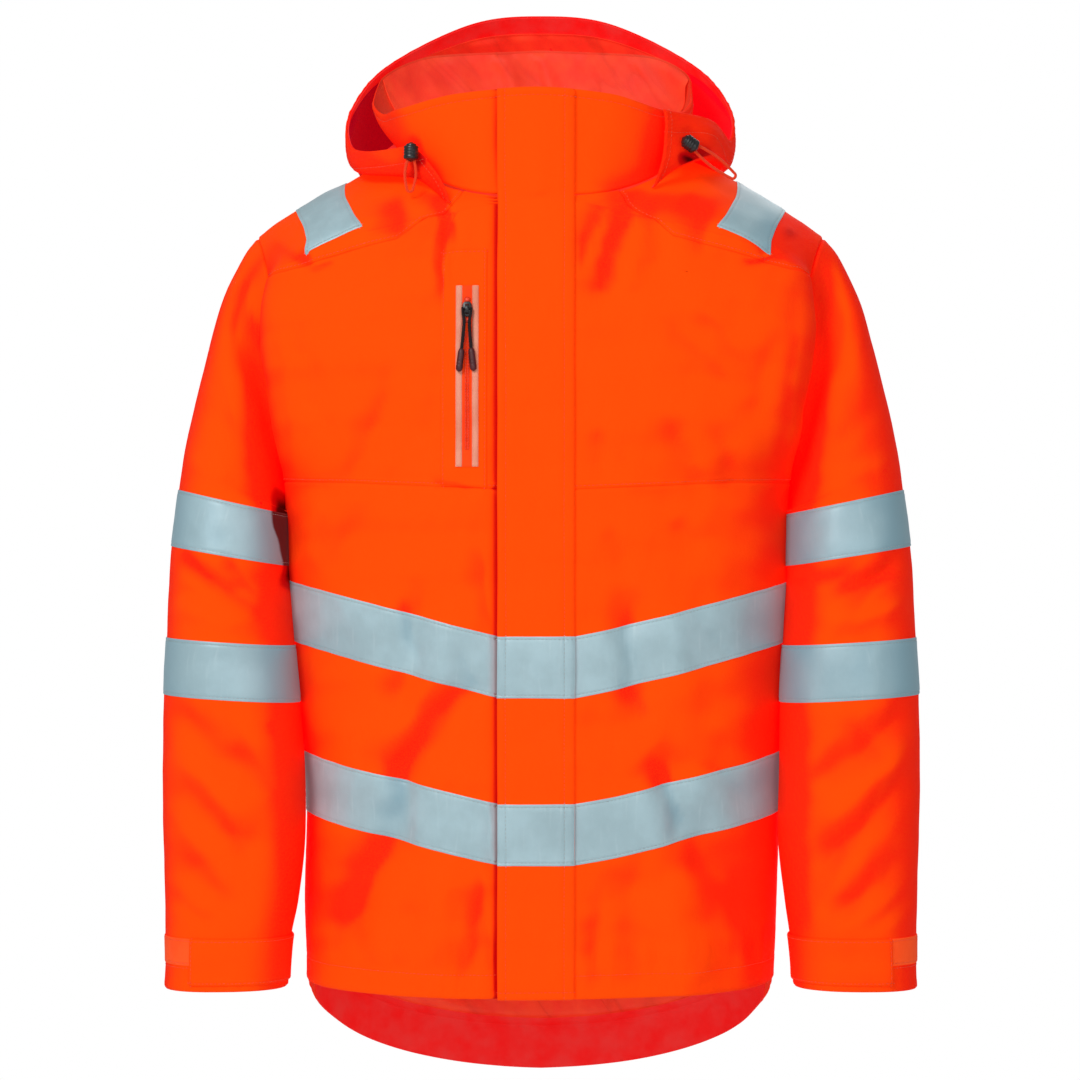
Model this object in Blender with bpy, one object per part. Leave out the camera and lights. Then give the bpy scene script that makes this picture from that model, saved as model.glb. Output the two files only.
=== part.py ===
"""High-visibility work jacket, worn shape with nobody in it.

Metres, +Z up, front towards -Y, +X to the viewer's right (the wearer's left).
The origin is the centre of the neck base. Every piece of cloth is a thin wall
on one of four forms: torso, sleeve, collar and hood. A form gives points for
rows and columns, so that neighbours share their seams and whatever lies on a
panel is made from the panel's own points, moved out.
"""
import math

import bmesh
import bpy
import numpy as np

# ---------------------------------------------------------------- sizes
CLOTH = 0.0016          # shell cloth, seam allowances included
TAPE = 0.0010           # reflective tape
SEAM = 0.0003           # gap between neighbours
LAP = 0.0003            # gap under a piece that lies on another
LINING = 0.0012

ZIP_RIGHT_X = -0.0057   # front zip, between the edges of the two fronts
ZIP_LEFT_X = 0.0017
FLAP_FREE_X = -0.0360   # storm flap: free edge, wearer's right
FLAP_SEAM_X = 0.0275    # storm flap: sewn edge, wearer's left
FLAP_LIFT = 0.0007      # the flap lies on the fronts and the zip

# Torso, one half: from the front hem up over the shoulder to the back hem.
# in_* is the row's end at the centre line or neckline, out_* its end at the
# side seam or armhole; x is per side (r: wearer's right, l: wearer's left).
# roll is how far the row turns (90 is square to the side), square its
# superellipse exponent, crown how late the row drops.
TORSO_COLUMNS = ("in_x", "in_y", "in_z", "out_x_r", "out_x_l", "out_y", "out_z", "roll", "square", "crown")
TORSO_ROWS = {
    "front_hem": (0.000, -0.118, -0.678, 0.2005, 0.1990, 0.000, -0.671, 90, 2.3, 1.0),
    "front_low": (0.000, -0.124, -0.606, 0.2030, 0.2020, 0.000, -0.606, 90, 2.3, 1.0),
    "front_hip": (0.000, -0.129, -0.520, 0.2010, 0.2045, 0.000, -0.520, 90, 2.3, 1.0),
    "front_waist": (0.000, -0.132, -0.430, 0.2100, 0.2080, 0.000, -0.430, 90, 2.3, 1.0),
    "front_rib": (0.000, -0.135, -0.340, 0.2165, 0.2115, 0.000, -0.340, 90, 2.3, 1.0),
    "front_underarm": (0.000, -0.137, -0.265, 0.2195, 0.2118, 0.000, -0.265, 90, 2.3, 1.0),
    "front_chest": (0.000, -0.136, -0.190, 0.2190, 0.2118, -0.030, -0.205, 107, 2.3, 0.8),
    "front_upper": (0.000, -0.130, -0.110, 0.2205, 0.2145, -0.044, -0.140, 112, 2.3, 0.7),
    "neck_front": (0.000, -0.108, -0.012, 0.2275, 0.2230, -0.044, -0.095, 104, 2.2, 0.6),
    "neck_fore": (0.060, -0.095, -0.006, 0.2330, 0.2300, -0.036, -0.068, 84, 2.2, 0.5),
    "neck_cheek": (0.100, -0.055, 0.012, 0.2390, 0.2370, -0.020, -0.048, 58, 2.1, 0.4),
    "ridge": (0.110, 0.000, 0.034, 0.2440, 0.2430, 0.008, -0.037, 42, 2.0, 0.35),
    "neck_rear": (0.100, 0.055, 0.047, 0.2395, 0.2380, 0.038, -0.050, 52, 2.1, 0.4),
    "neck_nape": (0.055, 0.088, 0.052, 0.2320, 0.2300, 0.060, -0.080, 74, 2.2, 0.5),
    "neck_back": (0.000, 0.096, 0.052, 0.2260, 0.2230, 0.066, -0.115, 92, 2.2, 0.6),
    "back_upper": (0.000, 0.122, -0.060, 0.2210, 0.2165, 0.062, -0.165, 100, 2.3, 0.7),
    "back_blade": (0.000, 0.138, -0.160, 0.2200, 0.2130, 0.040, -0.220, 100, 2.3, 0.8),
    "back_underarm": (0.000, 0.142, -0.265, 0.2195, 0.2118, 0.000, -0.265, 90, 2.3, 1.0),
    "back_rib": (0.000, 0.141, -0.345, 0.2165, 0.2115, 0.000, -0.340, 90, 2.3, 1.0),
    "back_waist": (0.000, 0.139, -0.440, 0.2100, 0.2080, 0.000, -0.430, 90, 2.3, 1.0),
    "back_hip": (0.000, 0.136, -0.545, 0.2010, 0.2045, 0.000, -0.520, 90, 2.3, 1.0),
    "back_low": (0.000, 0.133, -0.665, 0.2030, 0.2020, 0.000, -0.606, 90, 2.3, 0.94),
    "back_tail": (0.000, 0.129, -0.769, 0.2005, 0.1990, 0.000, -0.671, 90, 2.3, 0.93),
}
ROW = {name: index for index, name in enumerate(TORSO_ROWS)}

# Seams and tape edges as heights: z at the centre line, and how z changes
# with distance from it outside the flap.
TAPE_RISE = 0.2546      # the front tapes climb towards the side seams
TAPE_TOPS = {"upper": -0.3765, "lower": -0.5150}
TAPE_HEIGHT = 0.0510
LOWER_RISE = 0.2300
TAPE_LEVEL_X = 0.0360   # inside this the tapes run level
BACK_TAPE_SAG = 0.012   # the back tapes dip this much at the centre
CHEST_SEAM_Z = -0.2560
YOKE_SEAM_X, YOKE_SEAM_Z, YOKE_FALL = 0.1126, -0.0437, -0.262
YOKE_SWEEP = 12.0       # towards the neck the yoke seam curves up
POCKET_TOP_Z, POCKET_ZIP_TOP_Z, POCKET_ZIP_END_Z = -0.0560, -0.0870, -0.2365
POCKET_EDGES_X = (0.0447, 0.0515, 0.0570, 0.0650, 0.0705, 0.0830)

# Sleeve rings, from the shoulder to the cuff: outer and inner end in the
# front view, half the depth, and how far the ring sits forward.
SLEEVE_COLUMNS = ("out_x", "out_z", "in_x_r", "in_x_l", "in_z", "half_depth", "mid_y")
SLEEVE_RINGS = {
    "head": (0.2558, -0.0530, 0.2225, 0.2150, -0.2668, 0.050, 0.006),
    "deltoid": (0.2730, -0.0900, 0.2225, 0.2150, -0.2684, 0.063, 0.004),
    "upper_arm": (0.2842, -0.1290, 0.2225, 0.2152, -0.2700, 0.069, 0.001),
    "upper_arm_2": (0.2955, -0.1760, 0.2222, 0.2155, -0.2716, 0.071, -0.004),
    "above_tape": (0.3043, -0.2190, 0.2218, 0.2155, -0.2732, 0.071, -0.010),
    "upper_tape_top": (0.3090, -0.2540, 0.2205, 0.2140, -0.2750, 0.070, -0.018),
    "upper_tape_end": (0.3142, -0.3020, 0.2188, 0.2125, -0.3190, 0.069, -0.026),
    "elbow": (0.3164, -0.3420, 0.2160, 0.2108, -0.3520, 0.067, -0.034),
    "lower_tape_top": (0.3175, -0.3790, 0.2132, 0.2090, -0.3860, 0.066, -0.039),
    "lower_tape_end": (0.3193, -0.4270, 0.2085, 0.2062, -0.4340, 0.064, -0.043),
    "forearm": (0.3207, -0.4900, 0.2035, 0.2050, -0.4900, 0.062, -0.046),
    "forearm_2": (0.3196, -0.5500, 0.2015, 0.2028, -0.5500, 0.059, -0.047),
    "wrist": (0.3183, -0.6000, 0.2055, 0.2062, -0.6000, 0.056, -0.047),
    "tab_top": (0.3176, -0.6300, 0.2115, 0.2105, -0.6300, 0.053, -0.047),
    "grip_end": (0.3176, -0.6530, 0.2138, 0.2130, -0.6525, 0.051, -0.047),
    "tab_end": (0.3182, -0.6695, 0.2146, 0.2138, -0.6685, 0.050, -0.047),
    "cuff": (0.3186, -0.6750, 0.2146, 0.2138, -0.6740, 0.050, -0.047),
}
RING = {name: index + 1 for index, name in enumerate(SLEEVE_RINGS)}
SLEEVE_SQUARE = 2.2

# Collar: the top edge, by angle round the neck from the front centre.
COLLAR_COLUMNS = ("angle", "x", "y", "z", "bow")
COLLAR_TOP = (
    (-180, 0.000, 0.098, 0.137, 0.004),
    (-140, -0.095, 0.090, 0.131, 0.006),
    (-112, -0.142, 0.055, 0.104, 0.008),
    (-90, -0.146, 0.015, 0.081, 0.008),
    (-70, -0.133, -0.030, 0.066, 0.006),
    (-54, -0.118, -0.068, 0.0665, 0.003),
    (-30, -0.070, -0.097, 0.0755, 0.000),
    (0, -0.004, -0.109, 0.0795, 0.000),
    (30, 0.056, -0.099, 0.0755, 0.000),
    (54, 0.101, -0.070, 0.0660, 0.003),
    (72, 0.118, -0.030, 0.0680, 0.006),
    (92, 0.130, 0.015, 0.084, 0.008),
    (114, 0.131, 0.055, 0.106, 0.008),
    (140, 0.095, 0.090, 0.131, 0.006),
    (180, 0.000, 0.098, 0.137, 0.004),
)

# Hood, thrown back: stations from its front corner on the collar to the
# centre back, wearer's right; each has the points of its outer profile from
# the neck seam, down into the bag and up to the rim.
HOOD_STATIONS = {
    "corner": ((0.0765, -0.1060, -0.0180), (0.0800, -0.1070, -0.0070), (0.0850, -0.1060, 0.0040),
               (0.0920, -0.1020, 0.0140), (0.1000, -0.0960, 0.0240), (0.1090, -0.0880, 0.0330)),
    "cheek": ((0.1130, -0.0520, 0.0195), (0.1225, -0.0510, 0.0160), (0.1350, -0.0490, 0.0120),
              (0.1480, -0.0460, 0.0130), (0.1530, -0.0420, 0.0230), (0.1510, -0.0330, 0.0345)),
    "side": ((0.1235, 0.0100, 0.0420), (0.1350, 0.0110, 0.0355), (0.1515, 0.0130, 0.0260),
             (0.1640, 0.0160, 0.0265), (0.1680, 0.0170, 0.0370), (0.1675, 0.0140, 0.0480)),
    "rear_side": ((0.1150, 0.0560, 0.0570), (0.1290, 0.0630, 0.0420), (0.1500, 0.0740, 0.0220),
                  (0.1610, 0.0820, 0.0260), (0.1665, 0.0700, 0.0550), (0.1655, 0.0380, 0.0790)),
    "rear": ((0.0908, 0.0800, 0.0610), (0.1150, 0.1040, 0.0270), (0.1380, 0.1400, -0.0180),
             (0.1480, 0.1640, 0.0100), (0.1470, 0.1350, 0.0720), (0.1360, 0.0760, 0.1210)),
    "rear_back": ((0.0445, 0.0935, 0.0600), (0.0600, 0.1360, 0.0020), (0.0800, 0.1820, -0.0750),
                  (0.0860, 0.2240, -0.0300), (0.0790, 0.1880, 0.0820), (0.0640, 0.1080, 0.1617)),
    "centre": ((0.0000, 0.0979, 0.0600), (0.0000, 0.1460, -0.0060), (0.0000, 0.1960, -0.0980),
               (0.0000, 0.2420, -0.0450), (0.0000, 0.2060, 0.0850), (0.0000, 0.1200, 0.1710)),
}
# The wearer's left front of the hood stands higher against the collar.
HOOD_LEFT_STATIONS = {
    "corner": ((0.0945, -0.0850, -0.0030), (0.0990, -0.0860, 0.0100), (0.1025, -0.0860, 0.0240),
               (0.1040, -0.0850, 0.0380), (0.1045, -0.0830, 0.0520), (0.1035, -0.0800, 0.0645)),
    "cheek": ((0.1130, -0.0520, 0.0200), (0.1240, -0.0550, 0.0210), (0.1370, -0.0550, 0.0270),
              (0.1450, -0.0500, 0.0370), (0.1470, -0.0420, 0.0500), (0.1440, -0.0330, 0.0615)),
    "side": ((0.1235, 0.0100, 0.0420), (0.1350, 0.0110, 0.0355), (0.1515, 0.0130, 0.0260),
             (0.1620, 0.0150, 0.0270), (0.1655, 0.0140, 0.0370), (0.1640, 0.0100, 0.0480)),
}

# Large soft folds as (x1, z1, x2, z2, half width, height) in the front view;
# a negative height is a trough. Heights run out at both ends.
FRONT_FOLDS = {
    "collar_pull": (0.068, -0.030, 0.052, -0.092, 0.008, -0.0022),
    "collar_ridge": (0.086, -0.034, 0.070, -0.090, 0.009, 0.0016),
    "pocket_pull": (-0.077, -0.035, -0.080, -0.105, 0.007, -0.0018),
    "chest_left": (0.104, -0.200, 0.134, -0.262, 0.012, -0.0020),
    "chest_left_2": (0.146, -0.205, 0.168, -0.262, 0.012, -0.0016),
    "chest_right": (-0.118, -0.180, -0.160, -0.250, 0.013, -0.0014),
    "tape_right": (-0.100, -0.345, -0.122, -0.445, 0.013, -0.0034),
    "tape_right_ridge": (-0.070, -0.360, -0.088, -0.440, 0.014, 0.0022),
    "tape_left": (0.068, -0.350, 0.082, -0.450, 0.013, -0.0030),
    "tape_left_ridge": (0.106, -0.345, 0.118, -0.440, 0.016, 0.0022),
    "drape_right": (-0.071, -0.420, -0.125, -0.500, 0.014, -0.0034),
    "drape_right_2": (-0.118, -0.530, -0.172, -0.645, 0.018, -0.0044),
    "drape_right_3": (-0.075, -0.560, -0.100, -0.660, 0.018, 0.0030),
    "low_tape_right": (-0.108, -0.470, -0.118, -0.545, 0.014, -0.0026),
    "low_tape_left": (0.104, -0.470, 0.116, -0.545, 0.014, -0.0030),
    "drape_left": (0.120, -0.530, 0.182, -0.610, 0.017, -0.0044),
    "drape_left_2": (0.070, -0.570, 0.085, -0.672, 0.018, -0.0032),
    "drape_left_3": (0.105, -0.590, 0.130, -0.676, 0.016, 0.0036),
}
BACK_FOLDS = {
    "blade_right": (-0.110, -0.130, -0.165, -0.240, 0.016, -0.0030),
    "blade_left": (0.115, -0.140, 0.172, -0.235, 0.016, -0.0028),
    "waist_right": (-0.060, -0.330, -0.120, -0.455, 0.018, -0.0038),
    "waist_left": (0.075, -0.345, 0.125, -0.470, 0.017, -0.0036),
    "waist_centre": (-0.010, -0.360, 0.012, -0.480, 0.020, 0.0030),
    "tail_right": (-0.090, -0.540, -0.130, -0.690, 0.020, -0.0042),
    "tail_left": (0.080, -0.560, 0.120, -0.700, 0.018, -0.0040),
    "tail_centre": (0.005, -0.560, -0.005, -0.740, 0.024, 0.0034),
}
SLEEVE_FRONT_FOLDS = {   # x as a distance from the centre line
    "shoulder": (0.236, -0.060, 0.262, -0.118, 0.008, -0.0030),
    "shoulder_2": (0.262, -0.110, 0.246, -0.160, 0.009, -0.0024),
    "under_tape": (0.300, -0.318, 0.246, -0.345, 0.009, -0.0036),
    "elbow": (0.305, -0.352, 0.240, -0.366, 0.009, 0.0026),
    "forearm": (0.306, -0.440, 0.236, -0.500, 0.013, -0.0046),
    "forearm_2": (0.308, -0.500, 0.232, -0.566, 0.013, -0.0040),
    "forearm_ridge": (0.302, -0.474, 0.246, -0.530, 0.011, 0.0026),
    "wrist": (0.304, -0.560, 0.250, -0.610, 0.012, -0.0030),
}
SLEEVE_BACK_FOLDS = {
    "elbow": (0.300, -0.330, 0.240, -0.352, 0.010, -0.0040),
    "elbow_2": (0.304, -0.366, 0.238, -0.392, 0.010, -0.0036),
    "forearm": (0.300, -0.470, 0.240, -0.520, 0.013, -0.0042),
    "forearm_2": (0.304, -0.540, 0.244, -0.585, 0.013, -0.0034),
    "upper_arm": (0.262, -0.150, 0.290, -0.225, 0.014, -0.0030),
}

ORANGE = (0.98, 0.075, 0.006, 1.0)
RED_SHADE = (0.80, 0.020, 0.010, 1.0)
LINING_COLOUR = (0.86, 0.110, 0.055, 1.0)
SILVER = (0.42, 0.54, 0.57, 1.0)
GRIP_COLOUR = (0.98, 0.16, 0.06, 1.0)
BLACK = (0.012, 0.012, 0.014, 1.0)

SIDES = {"right": -1.0, "left": 1.0}     # the wearer's sides


# ---------------------------------------------------------------- helpers
def through(values, at, keep_shape=True):
    """A smooth curve through values at 0, 1, 2 ...; keep_shape avoids overshoot."""
    values = np.asarray(values, float)
    at = np.asarray(at, float)
    step = np.clip(np.floor(at).astype(int), 0, len(values) - 2)
    slope = np.diff(values, axis=0)
    before, after = slope[:-1], slope[1:]
    if keep_shape:
        total = before + after
        safe = np.where(np.abs(total) < 1e-12, 1.0, total)
        middle = np.where(before * after > 0, 2 * before * after / safe, 0.0)
    else:
        middle = (before + after) / 2
    tangent = np.concatenate([slope[:1], middle, slope[-1:]])
    f = at - step
    f = f.reshape(f.shape + (1,) * (values.ndim - 1))
    h1 = f * f * (3 - 2 * f)
    return (values[step] * (1 - h1) + values[step + 1] * h1
            + tangent[step] * (f * (1 - f) ** 2) - tangent[step + 1] * (f * f * (1 - f)))


def signed_power(value, exponent):
    return np.sign(value) * np.abs(value) ** exponent


def unit(vectors):
    return vectors / np.maximum(np.linalg.norm(vectors, axis=-1, keepdims=True), 1e-12)


def fold_height(points, folds, mirror=1.0):
    """Sum of the folds' heights at points, read in the front view."""
    x, z = points[..., 0] * mirror, points[..., 2]
    height = np.zeros_like(x)
    for x1, z1, x2, z2, half_width, size in folds.values():
        dx, dz = x2 - x1, z2 - z1
        length = math.hypot(dx, dz)
        along = ((x - x1) * dx + (z - z1) * dz) / length ** 2
        across = ((x - x1) * dz - (z - z1) * dx) / length
        ends = np.clip(np.minimum(along + 0.15, 1.15 - along) / 0.4, 0, 1)
        height += size * np.exp(-(across / half_width) ** 2) * ends * ends * (3 - 2 * ends)
    return height


# ---------------------------------------------------------------- torso form
def inner_ends(t):
    """Where rows start: the centre line, then the neckline, with corners between."""
    rows = np.array(list(TORSO_ROWS.values()))[:, :3]
    front, back = ROW["neck_front"], ROW["neck_back"]
    low = through(rows[:front + 1], np.minimum(t, front))
    neck = through(rows[front:back + 1], np.clip(t, front, back) - front, keep_shape=False)
    high = through(rows[back:], np.maximum(t, back) - back)
    t = t[..., None]
    return np.where(t < front, low, np.where(t > back, high, neck))


def torso_base(side, s, t):
    """Points of the half torso; s runs from centre to side, t over the shoulder."""
    s, t = np.broadcast_arrays(np.asarray(s, float), np.asarray(t, float))
    table = through(list(TORSO_ROWS.values()), t)
    table[..., :3] = inner_ends(t)
    row = dict(zip(TORSO_COLUMNS, np.moveaxis(table, -1, 0)))
    out_x = row["out_x_r"] if side < 0 else row["out_x_l"]
    roll = np.radians(row["roll"])
    power = 2 / row["square"]
    turn = s * roll
    f = signed_power(np.sin(turn), power) / signed_power(np.sin(roll), power)
    g = (1 - signed_power(np.cos(turn), power)) / (1 - signed_power(np.cos(roll), power))
    h = f + (g - f) * row["crown"]
    x = row["in_x"] + (out_x - row["in_x"]) * f
    y = row["in_y"] + (row["out_y"] - row["in_y"]) * g
    z = row["in_z"] + (row["out_z"] - row["in_z"]) * h
    return np.stack([x, y, z], -1)


def torso(side, s, t, lift=0.0):
    """Folded surface of the half torso, moved out by lift."""
    s, t = np.broadcast_arrays(np.asarray(s, float), np.asarray(t, float))
    d = 1e-3
    base = torso_base(side, s, t)
    last = len(TORSO_ROWS) - 1
    along_s = torso_base(side, np.minimum(s + d, 1), t) - torso_base(side, np.maximum(s - d, 0), t)
    along_t = torso_base(side, s, np.minimum(t + d, last)) - torso_base(side, s, np.maximum(t - d, 0))
    normal = unit(np.cross(along_s, along_t))
    seen = base * np.array([side, 1.0, 1.0])
    front = np.clip((ROW["neck_front"] + 1.5 - t) / 2, 0, 1)
    back = np.clip((t - ROW["neck_back"] + 0.5) / 2, 0, 1)
    edge = np.clip((1 - s) / 0.16, 0, 1)
    height = (front * fold_height(seen, FRONT_FOLDS) + back * fold_height(seen, BACK_FOLDS)) * edge
    points = base + normal * (height + lift)[..., None]
    return points * np.array([side, 1.0, 1.0])


def bisect(wanted, value, low, high):
    """Positions between low and high where value, which rises, meets wanted."""
    low = np.full_like(wanted, low)
    high = np.full_like(wanted, high)
    for _ in range(40):
        middle = (low + high) / 2
        below = value(middle) < wanted
        low = np.where(below, middle, low)
        high = np.where(below, high, middle)
    return (low + high) / 2


def row_at_height(side, s, height, front=True):
    """The row position t at which column s has z = height(x)."""
    s = np.asarray(s, float)
    if front:
        low, high, sign = 0.0, ROW["neck_cheek"] + 0.5, 1.0
    else:
        low, high, sign = ROW["neck_rear"] + 0.0, len(TORSO_ROWS) - 1.0, -1.0

    def over(t):
        p = torso_base(side, s, t)
        return sign * (p[..., 2] - height(np.abs(p[..., 0])))

    return bisect(np.zeros_like(s), over, low, high)


def column_at_x(side, x, t):
    """The column s at which row t lies at distance x from the centre line."""
    t = np.asarray(t, float)
    return bisect(np.full_like(t, x), lambda s: torso_base(side, s, t)[..., 0], 0.0, 0.6)


def level_then_rise(z, rise):
    return lambda x: z + rise * np.maximum(0.0, x - TAPE_LEVEL_X)


def back_tape(z_side):
    return lambda x: z_side - BACK_TAPE_SAG * (1 - np.clip(x / 0.2, 0, 1) ** 2)


def yoke_seam(x):
    return YOKE_SEAM_Z + YOKE_FALL * (x - YOKE_SEAM_X) + YOKE_SWEEP * np.maximum(0, YOKE_SEAM_X - x) ** 2


# ---------------------------------------------------------------- sleeve form
def armhole(side, angle):
    """The armhole seam, by the sleeve's own angle (0 top, 90 front, 180 below)."""
    top = torso_base(side, 1.0, ROW["ridge"])[2]
    low = torso_base(side, 1.0, ROW["front_underarm"])[2]
    wanted = (top + low) / 2 + (top - low) / 2 * signed_power(np.cos(angle), 2 / SLEEVE_SQUARE)
    fore = np.linspace(ROW["front_underarm"], ROW["ridge"], 200)
    rear = np.linspace(ROW["back_underarm"], ROW["ridge"], 200)
    t_front = np.interp(wanted, torso_base(side, 1.0, fore)[:, 2], fore)
    t_back = np.interp(wanted, torso_base(side, 1.0, rear)[:, 2], rear)
    t = np.where(np.sin(angle) >= 0, t_front, t_back)
    return torso_base(side, np.ones_like(t), t)


def sleeve_base(side, angle, ring):
    """Points by ring and angle; the angle runs outer, front, inner, back."""
    ring = np.asarray(ring, float)
    power = 2 / SLEEVE_SQUARE
    c, s = signed_power(np.cos(angle), power), signed_power(np.sin(angle), power)
    keys = [armhole(side, angle)]
    for values in SLEEVE_RINGS.values():
        row = dict(zip(SLEEVE_COLUMNS, values))
        in_x = row["in_x_r"] if side < 0 else row["in_x_l"]
        outer, inner = np.array([row["out_x"], row["out_z"]]), np.array([in_x, row["in_z"]])
        middle, reach = (outer + inner) / 2, (outer - inner) / 2
        keys.append(np.stack([middle[0] + reach[0] * c, row["mid_y"] - row["half_depth"] * s,
                              middle[1] + reach[1] * c], -1))
    return through(np.array(keys), ring)


def sleeve(side, angle, ring, lift=0.0):
    """Folded sleeve surface as (rings, angles, 3), moved out by lift."""
    angle, ring = np.asarray(angle, float), np.asarray(ring, float)
    d = 1e-3
    last = len(SLEEVE_RINGS)
    base = sleeve_base(side, angle, ring)
    along_a = sleeve_base(side, angle + d, ring) - sleeve_base(side, angle - d, ring)
    along_r = sleeve_base(side, angle, np.minimum(ring + d, last)) - sleeve_base(side, angle, np.maximum(ring - d, 0))
    normal = unit(np.cross(along_a, along_r))
    started = np.clip(ring / 1.5, 0, 1)[:, None]
    inward = np.clip(1.5 + np.cos(angle) * 1.6, 0, 1)
    height = np.clip(-normal[..., 1] * 1.5, 0, 1) * fold_height(base, SLEEVE_FRONT_FOLDS)
    height = height + np.clip(normal[..., 1] * 1.5, 0, 1) * fold_height(base, SLEEVE_BACK_FOLDS)
    points = base + normal * (height * started * inward + lift)[..., None]
    return points * np.array([side, 1.0, 1.0])


# ---------------------------------------------------------------- collar form
NECK_ROWS = ("neck_front", "neck_fore", "neck_cheek", "ridge", "neck_rear", "neck_nape", "neck_back")


def neckline(angle):
    """The neck seam by angle in degrees, 0 at the front, 180 at the back."""
    t = ROW["neck_front"] + np.abs(angle) / 180 * (ROW["neck_back"] - ROW["neck_front"])
    return inner_ends(t) * np.stack([np.where(angle < 0, -1.0, 1.0), np.ones_like(t), np.ones_like(t)], -1)


def collar_base(angle, v):
    """Collar points for arrays of angle and height; v is 0 at the seam, 1 at the top."""
    angle, v = np.broadcast_arrays(np.asarray(angle, float), np.asarray(v, float))
    low = neckline(angle)
    keys = np.array(COLLAR_TOP)
    top = through(keys[:, 1:], np.interp(angle, keys[:, 0], np.arange(len(keys))))
    out = unit(low * np.array([1.0, 1.0, 0.0]))
    v = v[..., None]
    return low * (1 - v) + top[..., :3] * v + out * top[..., 3:] * 4 * v * (1 - v)


def collar(angle, v, lift=0.0):
    turn, rise = 0.4, 0.01
    along_angle = collar_base(angle + turn, v) - collar_base(angle - turn, v)
    normal = unit(np.cross(along_angle, collar_base(angle, v + rise) - collar_base(angle, v - rise)))
    return collar_base(angle, v) + normal * lift


def collar_angle_at(x, v):
    """The angle near the front at which the collar lies at x, for heights v."""
    v = np.asarray(v, float)
    return bisect(np.full_like(v, x), lambda angle: collar_base(angle, v)[..., 0], -45.0, 45.0)


# ---------------------------------------------------------------- hood form
def hood(u, v, lift=0.0):
    """Hood surface as (profile, stations, 3); u is -6 to 6 round the back."""
    half = np.array(list(HOOD_STATIONS.values()))
    left = np.array(list({**HOOD_STATIONS, **HOOD_LEFT_STATIONS}.values()))
    keys = np.concatenate([half * np.array([-1, 1, 1]), left[-2::-1]])

    def base(u, v):
        columns = through(keys, np.asarray(u, float) + len(half) - 1, keep_shape=False)
        return through(np.swapaxes(columns, 0, 1), np.asarray(v, float), keep_shape=False)

    u, v = np.asarray(u, float), np.asarray(v, float)
    d = 1e-3
    low_u, high_u = np.maximum(u - d, 1 - len(half)), np.minimum(u + d, len(half) - 1)
    low_v, high_v = np.maximum(v - d, 0), np.minimum(v + d, half.shape[1] - 1)
    normal = unit(np.cross(base(high_u, v) - base(low_u, v), base(u, high_v) - base(u, low_v)))
    return base(u, v) - normal * lift


# ---------------------------------------------------------------- meshes
def material(name, colour, roughness=0.7, metallic=0.0):
    made = bpy.data.materials.get(name)
    if made is None:
        made = bpy.data.materials.new(name)
        made.use_nodes = True
        shader = made.node_tree.nodes["Principled BSDF"]
        shader.inputs["Base Color"].default_value = colour
        shader.inputs["Roughness"].default_value = roughness
        shader.inputs["Metallic"].default_value = metallic
    return made


def add_mesh(name, vertices, faces, finish):
    mesh = bpy.data.meshes.new(name)
    mesh.from_pydata([tuple(map(float, v)) for v in vertices], [], faces)
    bm = bmesh.new()
    bm.from_mesh(mesh)
    bmesh.ops.recalc_face_normals(bm, faces=bm.faces)
    bm.to_mesh(mesh)
    bm.free()
    mesh.shade_smooth()
    made = bpy.data.objects.new(name, mesh)
    made.data.materials.append(finish)
    bpy.context.scene.collection.objects.link(made)
    return made


def end_faces(vertices, pairs, count, axis):
    """Two triangles per pair of outer points; neighbours split their shared end alike."""
    faces = []
    for a, b in pairs:
        if abs(vertices[a][axis]) > abs(vertices[b][axis]):
            a, b = b, a
        faces += [(a, b, b + count), (a, b + count, a + count)]
    return faces


def wall(name, outer, inner, finish, ring=False):
    """A closed wall between two grids of points; ring joins the last column to the first."""
    rows, columns = outer.shape[:2]
    count = rows * columns
    vertices = np.concatenate([outer.reshape(-1, 3), inner.reshape(-1, 3)])
    last = columns if ring else columns - 1
    faces = []
    for i in range(rows - 1):
        for j in range(last):
            k = (j + 1) % columns
            a, b, c, d = i * columns + j, i * columns + k, (i + 1) * columns + k, (i + 1) * columns + j
            faces += [(a, b, c), (a, c, d), (c + count, b + count, a + count), (d + count, c + count, a + count)]
    for low in (0, (rows - 1) * columns):
        pairs = [(low + j, low + (j + 1) % columns) for j in range(last)]
        faces += end_faces(vertices, pairs, count, 0)
    if not ring:
        for side in (0, columns - 1):
            pairs = [(i * columns + side, (i + 1) * columns + side) for i in range(rows - 1)]
            faces += end_faces(vertices, pairs, count, 2)
    return add_mesh(name, vertices, faces, finish)


def between(first, last, steps):
    """Rows from one row position to another, each per column, both ends included."""
    part = np.linspace(0, 1, steps + 1)[:, None]
    return np.asarray(first, float) * (1 - part) + np.asarray(last, float) * part


def inset(rows, scale=1.0):
    """Shift the first and last rows of a grid inwards by half a seam gap."""
    rows = rows.copy()
    for end, step in ((0, 1), (-1, -2)):
        away = rows[step] - rows[end]
        rows[end] += unit(away) * SEAM / 2 * scale
    return rows


def panel(name, point, thickness, finish, lift=0.0, ring=False, trim=1.0):
    """A wall whose grids come from point(lift), trimmed by half a seam gap."""
    grids = []
    for grid in (point(lift + thickness), point(lift)):
        grid = inset(grid, trim)
        if not ring:
            grid = np.swapaxes(inset(np.swapaxes(grid, 0, 1), trim), 0, 1)
        grids.append(grid)
    return wall(name, *grids, finish, ring)


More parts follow.
